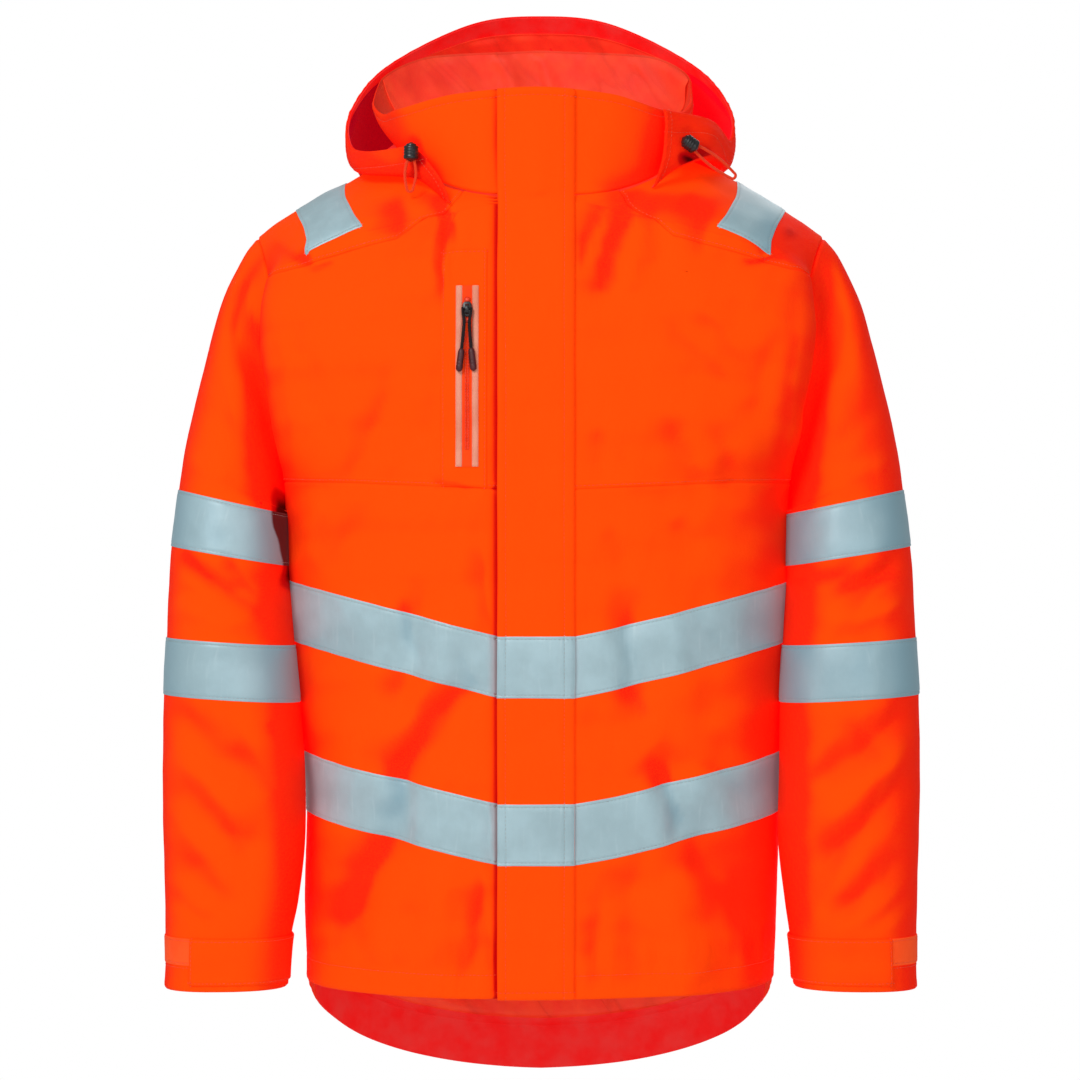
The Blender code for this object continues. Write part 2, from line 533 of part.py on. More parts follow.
# ---------------------------------------------------------------- fronts and back
COLUMNS = {
    "right": np.array([0.0, 0.07, 0.0, 0.0, 0.0, 0.0, 0.0, 0.0, 0.27, 0.34, 0.42, 0.51, 0.62, 0.74, 0.87, 1.0]),
    "left": np.array([0.0, 0.057, 0.16, 0.25, 0.34, 0.42, 0.51, 0.62, 0.74, 0.87, 1.0]),
}
POCKET_COLUMNS = slice(2, 8)
UPRIGHT_X = {"right": (-FLAP_FREE_X + SEAM, *POCKET_EDGES_X), "left": (FLAP_SEAM_X + SEAM,)}
UPRIGHT_END = 8.15              # row position above which upright columns lean back
TAPE_COLUMNS = slice(1, None)


def zip_edge(side, t):
    """The column where a front ends at the zip; it runs out above the neck."""
    x = -ZIP_RIGHT_X if side < 0 else ZIP_LEFT_X
    column = column_at_x(side, x, np.clip(t, 0, ROW["neck_front"]))
    return column * np.clip((ROW["neck_front"] - t) * 50 + 1, 0, 1)


def front_columns(name):
    """Column positions of a front; the right one has the pocket's edges among them."""
    side = SIDES[name]
    columns = COLUMNS[name].copy()
    chest = np.array(float(ROW["front_chest"]))
    start = zip_edge(side, chest)
    for j, x in enumerate(UPRIGHT_X[name], 1):
        columns[j] = (column_at_x(side, x, chest) - start) / (1 - start)
    return columns


def front_grid(side, columns, t):
    """Columns for rows of t: cut at the zip, upright along the flap and the pocket."""
    start = zip_edge(side, t[:, :1])
    s = start + (1 - start) * columns[None, :]
    upright = np.clip((UPRIGHT_END - t) / 0.45, 0, 1)
    for j, x in enumerate(UPRIGHT_X["right" if side < 0 else "left"], 1):
        s[:, j] += (column_at_x(side, x, t[:, j]) - s[:, j]) * upright[:, j]
    return s


def front_lines(side, columns):
    """Seam, tape and pocket lines of a front as row positions, from hem to yoke."""
    def at(height):
        t = row_at_height(side, columns, height)
        for _ in range(3):
            t = row_at_height(side, front_grid(side, columns, t[None])[0], height)
        return t

    lower_top = level_then_rise(TAPE_TOPS["lower"], LOWER_RISE)
    upper_top = level_then_rise(TAPE_TOPS["upper"], TAPE_RISE)
    pocket_side = POCKET_EDGES_X[-1]
    yoke = row_at_height(side, columns, yoke_seam)
    return {
        "hem": np.zeros_like(columns),
        "lower_tape_end": at(lambda x: lower_top(x) - TAPE_HEIGHT),
        "lower_tape_top": at(lower_top),
        "upper_tape_end": at(lambda x: upper_top(x) - TAPE_HEIGHT),
        "upper_tape_top": at(upper_top),
        "chest": at(lambda x: CHEST_SEAM_Z + 0.04 * x),
        "zip_end": at(lambda x: POCKET_ZIP_END_Z + 0 * x),
        "zip_top": at(lambda x: POCKET_ZIP_TOP_Z - 0.45 * np.maximum(0, x - pocket_side)),
        "pocket_top": at(lambda x: POCKET_TOP_Z - 0.50 * np.maximum(0, x - pocket_side)),
        "neck": np.minimum(ROW["neck_front"], yoke - 0.35),
        "yoke": yoke,
    }


def stack_lines(lines, order, steps):
    """Rows through the named lines, with steps rows between each pair."""
    parts = [between(lines[a], lines[b], n)[:-1] for a, b, n in zip(order, order[1:], steps)]
    return np.concatenate(parts + [lines[order[-1]][None]])


def front_points(side, columns, t):
    """A function of lift that gives a front's points for rows of t."""
    s = front_grid(side, columns, t)
    return lambda lift: torso(side, s, t, lift)


LOWER_ORDER = ("hem", "lower_tape_end", "lower_tape_top", "upper_tape_end", "upper_tape_top", "chest")
LOWER_STEPS = (4, 2, 2, 2, 2)
UPPER_ORDER = ("chest", "zip_end", "zip_top", "pocket_top", "neck", "yoke")
UPPER_STEPS = (1, 4, 1, 2, 2)


def make_fronts(shell, silver):
    for name, side in SIDES.items():
        columns = front_columns(name)
        lines = front_lines(side, columns)
        lower = stack_lines(lines, LOWER_ORDER, LOWER_STEPS)
        upper = stack_lines(lines, UPPER_ORDER, UPPER_STEPS)
        panel(f"front_lower_{name}", front_points(side, columns, lower), CLOTH, shell, -CLOTH)
        panel(f"front_upper_{name}", front_points(side, columns, upper), CLOTH, shell, -CLOTH)
        for level in ("lower", "upper"):
            band = between(lines[f"{level}_tape_end"], lines[f"{level}_tape_top"], 2)
            points = front_points(side, columns, band)
            panel(f"tape_front_{level}_{name}", lambda lift: points(lift)[:, TAPE_COLUMNS], TAPE, silver, LAP)


def make_pocket(shell, silver, zip_tape):
    """Chest pocket on the right front: patch, zip tape and two reflective pipings."""
    name, side = "right", SIDES["right"]
    columns = front_columns(name)
    lines = front_lines(side, columns)
    rows = stack_lines(lines, ("chest", "zip_end", "zip_top", "pocket_top"), (1, 4, 1))
    points = front_points(side, columns, rows)
    first = POCKET_COLUMNS.start
    panel("pocket_patch", lambda lift: points(lift)[:, POCKET_COLUMNS], TAPE, shell, LAP)
    lift_on_patch = TAPE + 2 * LAP
    for node, start, end, finish, thickness in (
            ("pocket_piping_outer", first + 3, first + 5, silver, 0.0016),
            ("pocket_zip", first + 2, first + 4, zip_tape, TAPE),
            ("pocket_piping_inner", first + 1, first + 3, silver, 0.0016)):
        panel(node, lambda lift: points(lift)[1:6, start:end], thickness, finish, lift_on_patch)


YOKE_ORDER = ("yoke", "ridge", "neck_back", "back_yoke")
YOKE_STEPS = (4, 4, 2)
SHOULDER_TAPE = (0.34, 0.51)         # its edges among the columns at the seams
SHOULDER_TAPE_RIDGE = (0.405, 0.72)  # where they lie on the shoulder's ridge


def yoke_lines(side, columns):
    return {
        "yoke": front_lines(side, columns)["yoke"],
        "ridge": np.full_like(columns, ROW["ridge"]),
        "neck_back": np.full_like(columns, ROW["neck_back"]),
        "back_yoke": np.full_like(columns, ROW["back_upper"]),
    }


def yoke_columns(columns, rows):
    """Columns that swing out over the ridge, so that the tape keeps its width."""
    swung = np.interp(columns, (0, *SHOULDER_TAPE, 1), (0, *SHOULDER_TAPE_RIDGE, 1))
    near = np.clip(1 - np.abs(rows - ROW["ridge"]) / (rows[-1] - ROW["ridge"]), 0, 1)
    near = np.where(rows < ROW["ridge"], (rows - rows[:1]) / (ROW["ridge"] - rows[:1]), near)
    near = near * near * (3 - 2 * near)
    return columns + (swung - columns) * near


def make_yokes(shell, silver):
    """Over the shoulder: from the front yoke seam to the back yoke seam."""
    for name, side in SIDES.items():
        columns = front_columns(name)
        rows = stack_lines(yoke_lines(side, columns), YOKE_ORDER, YOKE_STEPS)
        s = yoke_columns(columns, rows)
        points = lambda lift: torso(side, s, rows, lift)
        panel(f"yoke_{name}", points, CLOTH, shell, -CLOTH)
        first, last = (int(np.argmin(np.abs(columns - edge))) for edge in SHOULDER_TAPE)
        panel(f"tape_shoulder_{name}", lambda lift: points(lift)[1:-2, first:last + 1], TAPE, silver, LAP)


BACK_ORDER = ("back_yoke", "upper_tape_top", "upper_tape_end", "lower_tape_top", "lower_tape_end",
              "facing_top", "tail")
BACK_STEPS = (6, 2, 2, 2, 3, 2)
TAIL_FACING = 0.044


def back_lines(side, columns):
    def at(height):
        return row_at_height(side, columns, height, front=False)

    wide = torso_base(side, 1.0, float(ROW["back_waist"]))[0]
    upper = TAPE_TOPS["upper"] + TAPE_RISE * (wide - TAPE_LEVEL_X)
    lower = TAPE_TOPS["lower"] + LOWER_RISE * (wide - TAPE_LEVEL_X)
    end = len(TORSO_ROWS) - 1.0
    tail = torso_base(side, columns, end)[:, 2]
    return {
        "back_yoke": np.full_like(columns, ROW["back_upper"]),
        "upper_tape_top": at(back_tape(upper)),
        "upper_tape_end": at(back_tape(upper - TAPE_HEIGHT)),
        "lower_tape_top": at(back_tape(lower)),
        "lower_tape_end": at(back_tape(lower - TAPE_HEIGHT)),
        "facing_top": row_at_height(side, columns, lambda x: tail + TAIL_FACING, front=False),
        "tail": np.full_like(columns, end),
    }


def both_sides(rows, columns, lift):
    """One grid across the back, from the right side seam to the left one."""
    right, left = (torso(side, columns[None, :], rows[name], lift) for name, side in SIDES.items())
    return np.concatenate([right[:, :0:-1], left], axis=1)


def make_back(shell, silver, facing, lining):
    columns = COLUMNS["left"].copy()
    lines = {name: back_lines(side, columns) for name, side in SIDES.items()}

    def rows(first, last):
        return {name: stack_lines(lines[name], BACK_ORDER[first:last + 1], BACK_STEPS[first:last])
                for name in SIDES}

    whole = rows(0, len(BACK_STEPS))
    panel("back", lambda lift: both_sides(whole, columns, lift), CLOTH, shell, -CLOTH)
    for number, level in ((1, "upper"), (3, "lower")):
        band = rows(number, number + 1)
        panel(f"tape_back_{level}", lambda lift: both_sides(band, columns, lift), TAPE, silver, LAP)
    inside = -CLOTH - LAP - LINING
    seen = slice(1, -1)
    tail, above = rows(5, 6), rows(4, 5)
    panel("tail_facing", lambda lift: both_sides(tail, columns, lift)[:, seen], LINING, facing, inside)
    panel("back_lining", lambda lift: both_sides(above, columns, lift)[:, seen], LINING, lining, inside)


# ---------------------------------------------------------------- sleeves
SLEEVE_PARTS = np.array([0.02, 0.6, 1.4, 2.6, 3.8, 5, 6, 7, 8, 9, 10, 11.4, 12.7, 14, 15, 16, 17])
TAB_EDGE = 60.4                 # degrees round the cuff: the tab's free end meets the grip strip
TAB_TO, GRIP_FROM = 240, 300    # where they end, by the inner side and by the outer side
TAB = 0.0024


def sleeve_angles(name):
    """Angles at which the armhole meets the rows of the front, yoke and back."""
    side = SIDES[name]
    columns = front_columns(name)
    lines = front_lines(side, columns)
    front = stack_lines(lines, LOWER_ORDER, LOWER_STEPS)[:-1, -1]
    front = np.append(front, stack_lines(lines, UPPER_ORDER, UPPER_STEPS)[:-1, -1])
    over = stack_lines(yoke_lines(side, columns), YOKE_ORDER, YOKE_STEPS)[:-1, -1]
    back = stack_lines(back_lines(side, COLUMNS["left"]), BACK_ORDER, BACK_STEPS)[:, -1]
    t = np.concatenate([front, over, back])
    low, high = ROW["front_underarm"], ROW["back_underarm"]
    t = np.concatenate([[low], t[(t > low + 0.1) & (t < high - 0.1)]])
    z = torso_base(side, np.ones_like(t), t)[:, 2]
    top = torso_base(side, 1.0, ROW["ridge"])[2]
    part = np.clip((2 * z - top - z[0]) / (top - z[0]), -1, 1)
    angle = np.arccos(signed_power(part, SLEEVE_SQUARE / 2))
    angles = np.sort(np.where(t > ROW["ridge"], 2 * np.pi - angle, angle) % (2 * np.pi))
    angles[np.argmin(np.abs(angles - np.radians(TAB_EDGE)))] = np.radians(TAB_EDGE)
    return angles


def make_sleeves(shell, silver, grip):
    for name, side in SIDES.items():
        angles = sleeve_angles(name)
        panel(f"sleeve_{name}", lambda lift: sleeve(side, angles, SLEEVE_PARTS, lift), CLOTH, shell,
              -CLOTH, ring=True)
        for level in ("upper", "lower"):
            first, last = RING[f"{level}_tape_top"], RING[f"{level}_tape_end"]
            band = SLEEVE_PARTS[(SLEEVE_PARTS >= first) & (SLEEVE_PARTS <= last)]
            panel(f"tape_sleeve_{level}_{name}", lambda lift: sleeve(side, angles, band, lift), TAPE,
                  silver, LAP, ring=True)
        tab = np.array([RING["tab_top"], RING["grip_end"], RING["tab_end"]])
        degrees = np.degrees(angles)
        around = angles[(degrees > TAB_EDGE - 0.1) & (degrees < TAB_TO)]
        panel(f"cuff_tab_{name}", lambda lift: sleeve(side, around, tab, lift), TAB, shell, LAP)
        held = np.concatenate([angles[degrees > GRIP_FROM], angles[degrees < TAB_EDGE + 0.1]])
        panel(f"cuff_grip_{name}", lambda lift: sleeve(side, held, tab[:2], lift), TAPE, grip, LAP)


# ---------------------------------------------------------------- neck
COLLAR_HEIGHTS = np.array([0.005, 0.2, 0.4, 0.6, 0.8, 0.9, 1.0])


def neck_samples(name):
    """Angles of the neckline at which the fronts and yokes have their rows."""
    side = SIDES[name]
    columns = front_columns(name)
    front = stack_lines(front_lines(side, columns), UPPER_ORDER, UPPER_STEPS)[:, 0]
    over = stack_lines(yoke_lines(side, columns), YOKE_ORDER, YOKE_STEPS)[:, 0]
    t = np.concatenate([front, over[1:]])
    t = t[(t > ROW["neck_front"] + 0.01) & (t <= ROW["neck_back"])]
    return (t - ROW["neck_front"]) / (ROW["neck_back"] - ROW["neck_front"]) * 180


def make_collar(shell, lining):
    left, right = neck_samples("left"), neck_samples("right")
    v = COLLAR_HEIGHTS[:, None]
    round_neck = np.concatenate([left, 360 - right[-2::-1]])
    round_neck = np.broadcast_to(round_neck, (len(v), len(round_neck)))
    angles = np.concatenate([collar_angle_at(ZIP_LEFT_X, v), round_neck,
                             collar_angle_at(ZIP_RIGHT_X, v) + 360], axis=1)
    wrapped = np.where(angles > 180, angles - 360, angles)
    panel("collar", lambda lift: collar(wrapped, v, lift), CLOTH, shell, -CLOTH)
    middle = wrapped.shape[1] // 2
    inside = slice(middle - 5, middle + 6)
    panel("collar_lining", lambda lift: collar(wrapped, v, lift)[2:, inside], LINING,
          lining, -CLOTH - LAP - LINING)


HOOD_STEPS = 12
HOOD_PROFILE = np.array([0, 0.6, 1.2, 1.8, 2.3, 2.8, 3.4, 4.0, 4.5, 4.85, 5.0])


def make_hood(shell, facing, lining):
    u = np.concatenate([np.linspace(-6, 0, HOOD_STEPS + 1)[:-1], np.linspace(0, 6, HOOD_STEPS + 1)])
    panel("hood", lambda lift: hood(u, HOOD_PROFILE, lift), CLOTH, shell, -CLOTH)
    inner = slice(3, 22)
    inside = -CLOTH - LINING - LAP
    panel("hood_facing", lambda lift: hood(u, HOOD_PROFILE, lift)[-2:, inner], LINING, facing, inside)
    panel("hood_lining", lambda lift: hood(u, HOOD_PROFILE, lift)[-7:-1, inner], LINING, lining, inside, trim=3.0)


# ---------------------------------------------------------------- front closure
COLLAR_LIFT = 0.0009            # the closure lies a little looser where the collar bends


def centre_rows():
    """Row positions of the centre front, so that the flap shares the tape lines."""
    columns = front_columns("left")
    lines = front_lines(SIDES["left"], columns)
    lower = stack_lines(lines, LOWER_ORDER, LOWER_STEPS)[:, 0]
    upper = stack_lines(lines, UPPER_ORDER[:-1], UPPER_STEPS[:-1])[:, 0]
    return np.concatenate([lower, upper[1:-1]])


def centre_strip(edges, steps):
    """Rows of points up the front and the collar between two x values."""
    xs = np.linspace(edges[0], edges[1], steps + 1)
    t = centre_rows()
    columns = []
    for x in xs:
        side = 1.0 if x >= 0 else -1.0
        body = torso(side, column_at_x(side, abs(x), t), t)
        neck = collar(collar_angle_at(x, COLLAR_HEIGHTS[1:]), COLLAR_HEIGHTS[1:])
        columns.append(np.concatenate([body, neck]))
    return np.stack(columns, axis=1)


def along_normals(grid, lift):
    """Move a front grid out along normals read from the grid itself."""
    normal = unit(np.cross(np.gradient(grid, axis=1), np.gradient(grid, axis=0)))
    on_collar = np.zeros(len(grid))
    on_collar[-len(COLLAR_HEIGHTS):] = COLLAR_LIFT
    return grid + normal * (lift + on_collar[:, None, None])


def make_closure(shell, silver, dark):
    strip = centre_strip((FLAP_FREE_X, FLAP_SEAM_X), 3)
    flap = 2 * CLOTH
    panel("storm_flap", lambda lift: along_normals(strip, lift), flap, shell, FLAP_LIFT)
    first = 0
    for name, steps in zip(LOWER_ORDER, LOWER_STEPS):
        if name.endswith("tape_end"):
            band = slice(first, first + steps + 1)
            panel(f"tape_flap_{name.split('_')[0]}", lambda lift: along_normals(strip, lift)[band], TAPE, silver,
                  FLAP_LIFT + flap + LAP)
        first += steps
    zip_strip = centre_strip((ZIP_RIGHT_X + SEAM, ZIP_LEFT_X - SEAM), 1)
    panel("front_zip", lambda lift: along_normals(zip_strip, lift), CLOTH, dark, -CLOTH - COLLAR_LIFT)


# ---------------------------------------------------------------- trimmings
SLIDER = {"x": -0.0610, "z": -0.1070, "width": 0.0064, "height": 0.0125, "base": 0.0022,
          "bridge_width": 0.0030, "hole_height": 0.0026, "hole_length": 0.0046, "roof": 0.0012}
PULL_RADIUS, PULL_END_RADIUS = 0.0009, 0.0019
CORD_RADIUS = 0.00125
LOCK_RADIUS, LOCK_LENGTH = 0.0062, 0.0130


def on_front(side, x, z, lift):
    """A point over the front panel at x and z, out from the cloth by lift."""
    column = 0.3
    for _ in range(12):
        t = row_at_height(side, np.array([column]), lambda _: z)
        column = float(column_at_x(side, abs(x), t)[0])
    return torso(side, column, t, lift)[0]


def rings_along(points, radii, sides, across):
    """Circles round the points of a path, for tubes; across is roughly square to it."""
    points = np.asarray(points, float)
    along = unit(np.gradient(points, axis=0))
    first = unit(np.cross(np.cross(along, across), along))
    second = np.cross(along, first)
    turn = np.arange(sides) * 2 * np.pi / sides
    reach = np.asarray(radii, float)[:, None, None]
    return (points[:, None] + reach * (first[:, None] * np.cos(turn)[None, :, None]
                                      + second[:, None] * np.sin(turn)[None, :, None]))


def tube(name, points, radii, finish, sides=8, across=(0.0, -1.0, 0.0)):
    rings = rings_along(points, radii, sides, np.array(across))
    rows = len(rings)
    faces = [(i * sides + j, i * sides + (j + 1) % sides, (i + 1) * sides + (j + 1) % sides, (i + 1) * sides + j)
             for i in range(rows - 1) for j in range(sides)]
    faces += [tuple(range(sides)), tuple(range((rows - 1) * sides, rows * sides))]
    return add_mesh(name, rings.reshape(-1, 3), faces, finish)


def prism(name, outline, half_width, centre, axes, finish):
    """A block with holes: outline loops of (along, out) swept along the first axis."""
    across, along, out = axes
    loops = [[np.asarray(centre) + along * a + out * b for a, b in loop] for loop in outline]
    vertices, faces = [], []
    count = len(loops[0])
    for end in (-half_width, half_width):
        for loop in loops:
            vertices += [point + across * end for point in loop]
    block = count * len(loops)
    for j in range(count):
        k = (j + 1) % count
        faces.append((j, k, k + block, j + block))
        faces.append((j + count, k + count, k + count + block, j + count + block))
        for end in (0, block):
            faces.append((j + end, k + end, k + count + end, j + count + end))
    return add_mesh(name, vertices, faces, finish)


def make_slider(dark):
    """Pocket slider with a bridge, and the moulded pull whose legs pass under it."""
    side = SIDES["right"]
    lift = TAPE + 2 * LAP + TAPE + LAP
    foot = on_front(side, SLIDER["x"], SLIDER["z"], lift)
    out = unit(on_front(side, SLIDER["x"], SLIDER["z"], lift + 0.01) - foot)
    across = unit(np.cross(out, np.array([0.0, 0.0, 1.0])))
    along = np.cross(across, out)
    half, hole, low = SLIDER["height"] / 2, SLIDER["hole_length"] / 2, SLIDER["base"]
    high = low + SLIDER["hole_height"]
    roof = high + SLIDER["roof"]
    outer = [(-half, 0), (half, 0), (half, low), (hole + 0.0014, roof), (-hole - 0.0014, roof), (-half, low)]
    inner = [(-hole, low), (hole, low), (hole, low + 0.0009), (hole, high), (-hole, high), (-hole, low + 0.0009)]
    prism("zip_slider", (outer, inner), SLIDER["width"] / 2, foot, (across, along, out), dark)
    middle = foot + out * (low + high) / 2
    leg = []
    for part, (x, z) in zip(np.linspace(0, 1, 7), ((-0.0044, -0.0003), (-0.0045, -0.0060), (-0.0047, -0.0140),
                                                   (-0.0050, -0.0240), (-0.0054, -0.0330), (-0.0058, -0.0420),
                                                   (-0.0061, -0.0500))):
        rest = on_front(side, middle[0] + x, middle[2] + z, 0.0066 - 0.0006 * part)
        leg.append(rest - np.array([0.0, max(0.0, 0.0032 * (1 - 3 * part)), 0.0]))
    right_leg = np.array(leg[::-1])
    left_leg = right_leg[::-1] * np.array([-1.0, 1.0, 1.0]) + np.array([2 * middle[0], 0.0, 0.0])
    bend = np.array([middle + across * w for w in (-0.0036, 0.0036)])
    if (bend[0] - bend[1])[0] > 0:
        bend = bend[::-1]
    path = np.concatenate([right_leg[:-1], bend, left_leg[1:]])
    radii = np.full(len(path), PULL_RADIUS)
    radii[[0, 1, -2, -1]] = PULL_END_RADIUS
    radii[[2, -3]] = PULL_RADIUS * 1.2
    tube("zip_pull", path, radii, dark)


def elastic(name, points, finish):
    """A round elastic as a bevelled curve with closed ends."""
    curve = bpy.data.curves.new(name, "CURVE")
    curve.dimensions = "3D"
    curve.bevel_depth = CORD_RADIUS
    curve.bevel_resolution = 2
    curve.use_fill_caps = True
    spline = curve.splines.new("POLY")
    spline.points.add(len(points) - 1)
    for place, point in zip(spline.points, points):
        place.co = (*map(float, point), 1.0)
    made = bpy.data.objects.new(name, curve)
    made.data.materials.append(finish)
    bpy.context.scene.collection.objects.link(made)
    return made


# Cord locks at the front corners of the hood: middle, direction of the loop
# that hangs from them, how long it hangs and how far apart its legs are.
LOCKS = {
    "right": ((-0.1085, -0.0974, 0.0270), (-0.03, 0.02, -1.0), 0.0240, 0.0026),
    "left": ((0.1245, -0.0800, 0.0357), (0.78, 0.28, -0.55), 0.0400, 0.0026),
}


def make_locks(dark, cord):
    for name, (middle, way, reach, gap) in LOCKS.items():
        middle, way = np.array(middle), unit(np.array(way))
        across = unit(np.cross(way, np.array([0.0, -1.0, 0.0])))
        half = LOCK_LENGTH / 2
        profile = ((-half, 0.78), (-half + 0.0015, 1.0), (-0.0012, 1.0), (0.0, 0.86), (0.0012, 1.0),
                   (half - 0.0015, 1.0), (half, 0.78))
        tube(f"cord_lock_{name}", [middle + way * at for at, _ in profile],
             [LOCK_RADIUS * scale for _, scale in profile], dark, sides=12, across=across)
        start = middle + way * (half + LAP)
        turn = np.radians(np.linspace(0, 180, 7))
        legs = [start + across * gap + way * reach * part + across * 0.002 * np.sin(np.pi * part)
                for part in (0, 0.35, 0.7)]
        end = start + way * reach
        bend = [end + across * gap * np.cos(a) + way * gap * np.sin(a) for a in turn]
        back = [start - across * gap + way * reach * part - across * 0.002 * np.sin(np.pi * part)
                for part in (0.7, 0.35, 0)]
        elastic(f"elastic_loop_{name}", legs + bend + back, cord)


# ---------------------------------------------------------------- build
def clear_scene():
    for item in list(bpy.data.objects):
        bpy.data.objects.remove(item, do_unlink=True)


def main():
    clear_scene()
    shell = material("shell", ORANGE, 0.75)
    silver = material("reflective_tape", SILVER, 0.45)
    facing = material("facing", RED_SHADE, 0.75)
    lining = material("lining", LINING_COLOUR, 0.5)
    grip = material("grip", GRIP_COLOUR, 0.8)
    black = material("zip_black", BLACK, 0.4)
    make_fronts(shell, silver)
    make_pocket(shell, silver, facing)
    make_yokes(shell, silver)
    make_back(shell, silver, facing, lining)
    make_sleeves(shell, silver, grip)
    make_collar(shell, lining)
    make_hood(shell, facing, lining)
    make_closure(shell, silver, black)
    make_slider(black)
    make_locks(black, shell)


main()
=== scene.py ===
"""High-visibility work jacket: cloth, bands, sewing and trimmings.

Every piece of cloth is a thin wall on one of four forms (torso, sleeve, collar
and hood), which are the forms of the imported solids. Rows and columns lie
closer together beside seams, where the cloth dips and carries its stitches.
"""
import math

import bmesh
import bpy
import numpy as np
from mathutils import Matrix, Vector


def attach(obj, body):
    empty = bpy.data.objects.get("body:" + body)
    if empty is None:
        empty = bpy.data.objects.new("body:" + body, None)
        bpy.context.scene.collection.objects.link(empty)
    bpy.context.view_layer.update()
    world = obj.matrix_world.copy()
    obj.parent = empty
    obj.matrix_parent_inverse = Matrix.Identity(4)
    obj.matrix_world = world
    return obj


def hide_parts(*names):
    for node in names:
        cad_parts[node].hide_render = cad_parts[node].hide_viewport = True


bl_info = {
    "name": "Hi-vis work jacket",
    "version": (1, 0, 0),
    "blender": (4, 5, 0),
    "location": "View3D > Sidebar > Jacket",
    "description": "Builds a hooded high-visibility work jacket round its packed solids",
    "category": "Object",
}

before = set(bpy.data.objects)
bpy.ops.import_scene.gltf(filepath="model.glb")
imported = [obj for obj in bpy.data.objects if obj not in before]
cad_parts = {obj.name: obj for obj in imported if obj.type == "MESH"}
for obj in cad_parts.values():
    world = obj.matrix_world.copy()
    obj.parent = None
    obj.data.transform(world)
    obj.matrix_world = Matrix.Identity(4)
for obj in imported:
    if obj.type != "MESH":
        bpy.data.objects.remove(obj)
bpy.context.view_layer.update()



# ---------------- sizes
CLOTH = 0.0016          # shell cloth, seam allowances included
TAPE = 0.0010           # reflective tape
SEAM = 0.0003           # gap between neighbours
LAP = 0.0003            # gap under a piece that lies on another

ZIP_RIGHT_X = -0.0057   # front zip, between the edges of the two fronts
ZIP_LEFT_X = 0.0017
FLAP_FREE_X = -0.0360   # storm flap: free edge, wearer's right
FLAP_SEAM_X = 0.0275    # storm flap: sewn edge, wearer's left
FLAP_LIFT = 0.0007      # the flap lies on the fronts and the zip

TENTHS = 1e4            # tenths of a millimetre in a metre


def numbers(text, units):
    """Rows of numbers from text, each column divided by its own unit."""
    return np.array(text.replace(",", " ").split(), float).reshape(-1, len(units)) / units


def table(text, units):
    """Named rows of numbers: a line each, or more with semicolons between."""
    rows = [line.split(maxsplit=1) for line in text.strip().replace(";", "\n").splitlines()]
    return {name: numbers(values, units)[0] for name, values in rows}


# Torso, one half: from the front hem up over the shoulder to the back hem.
# in_* is the row's end at the centre line or neckline, out_* its end at the
# side seam or armhole; x is per side (r: wearer's right, l: wearer's left).
# roll is how far the row turns (90 is square to the side), square its
# superellipse exponent, crown how late the row drops.
TORSO_COLUMNS = ("in_x", "in_y", "in_z", "out_x_r", "out_x_l", "out_y", "out_z", "roll", "square", "crown")
TORSO_ROWS = table("""
front_hem 0 -1180 -6780 2005 1990 0 -6710 90 2.3 1
front_low 0 -1240 -6060 2030 2020 0 -6060 90 2.3 1
front_hip 0 -1290 -5200 2010 2045 0 -5200 90 2.3 1
front_waist 0 -1320 -4300 2100 2080 0 -4300 90 2.3 1
front_rib 0 -1350 -3400 2165 2115 0 -3400 90 2.3 1
front_underarm 0 -1370 -2650 2195 2118 0 -2650 90 2.3 1
front_chest 0 -1360 -1900 2190 2118 -300 -2050 107 2.3 0.8
front_upper 0 -1300 -1100 2205 2145 -440 -1400 112 2.3 0.7
neck_front 0 -1080 -120 2275 2230 -440 -950 104 2.2 0.6
neck_fore 600 -950 -60 2330 2300 -360 -680 84 2.2 0.5
neck_cheek 1000 -550 120 2390 2370 -200 -480 58 2.1 0.4
ridge 1100 0 340 2440 2430 80 -370 42 2 0.35
neck_rear 1000 550 470 2395 2380 380 -500 52 2.1 0.4
neck_nape 550 880 520 2320 2300 600 -800 74 2.2 0.5
neck_back 0 960 520 2260 2230 660 -1150 92 2.2 0.6
back_upper 0 1220 -600 2210 2165 620 -1650 100 2.3 0.7
back_blade 0 1380 -1600 2200 2130 400 -2200 100 2.3 0.8
back_underarm 0 1420 -2650 2195 2118 0 -2650 90 2.3 1
back_rib 0 1410 -3450 2165 2115 0 -3400 90 2.3 1
back_waist 0 1390 -4400 2100 2080 0 -4300 90 2.3 1
back_hip 0 1360 -5450 2010 2045 0 -5200 90 2.3 1
back_low 0 1330 -6650 2030 2020 0 -6060 90 2.3 0.94
back_tail 0 1290 -7690 2005 1990 0 -6710 90 2.3 0.93
""", (TENTHS,) * 7 + (1, 1, 1))
ROW = {name: index for index, name in enumerate(TORSO_ROWS)}

# Seams and tape edges as heights: z at the centre line, and how z changes
# with distance from it outside the flap.
TAPE_RISE = 0.2546      # the front tapes climb towards the side seams
TAPE_TOPS = {"upper": -0.3765, "lower": -0.5150}
TAPE_HEIGHT = 0.0510
LOWER_RISE = 0.2300
TAPE_LEVEL_X = 0.0360   # inside this the tapes run level
BACK_TAPE_SAG = 0.012   # the back tapes dip this much at the centre
CHEST_SEAM_Z = -0.2560
YOKE_SEAM_X, YOKE_SEAM_Z, YOKE_FALL = 0.1126, -0.0437, -0.262
YOKE_SWEEP = 12.0       # towards the neck the yoke seam curves up
POCKET_TOP_Z, POCKET_ZIP_TOP_Z, POCKET_ZIP_END_Z = -0.0560, -0.0870, -0.2365
POCKET_EDGES_X = (0.0447, 0.0515, 0.0570, 0.0650, 0.0705, 0.0830)

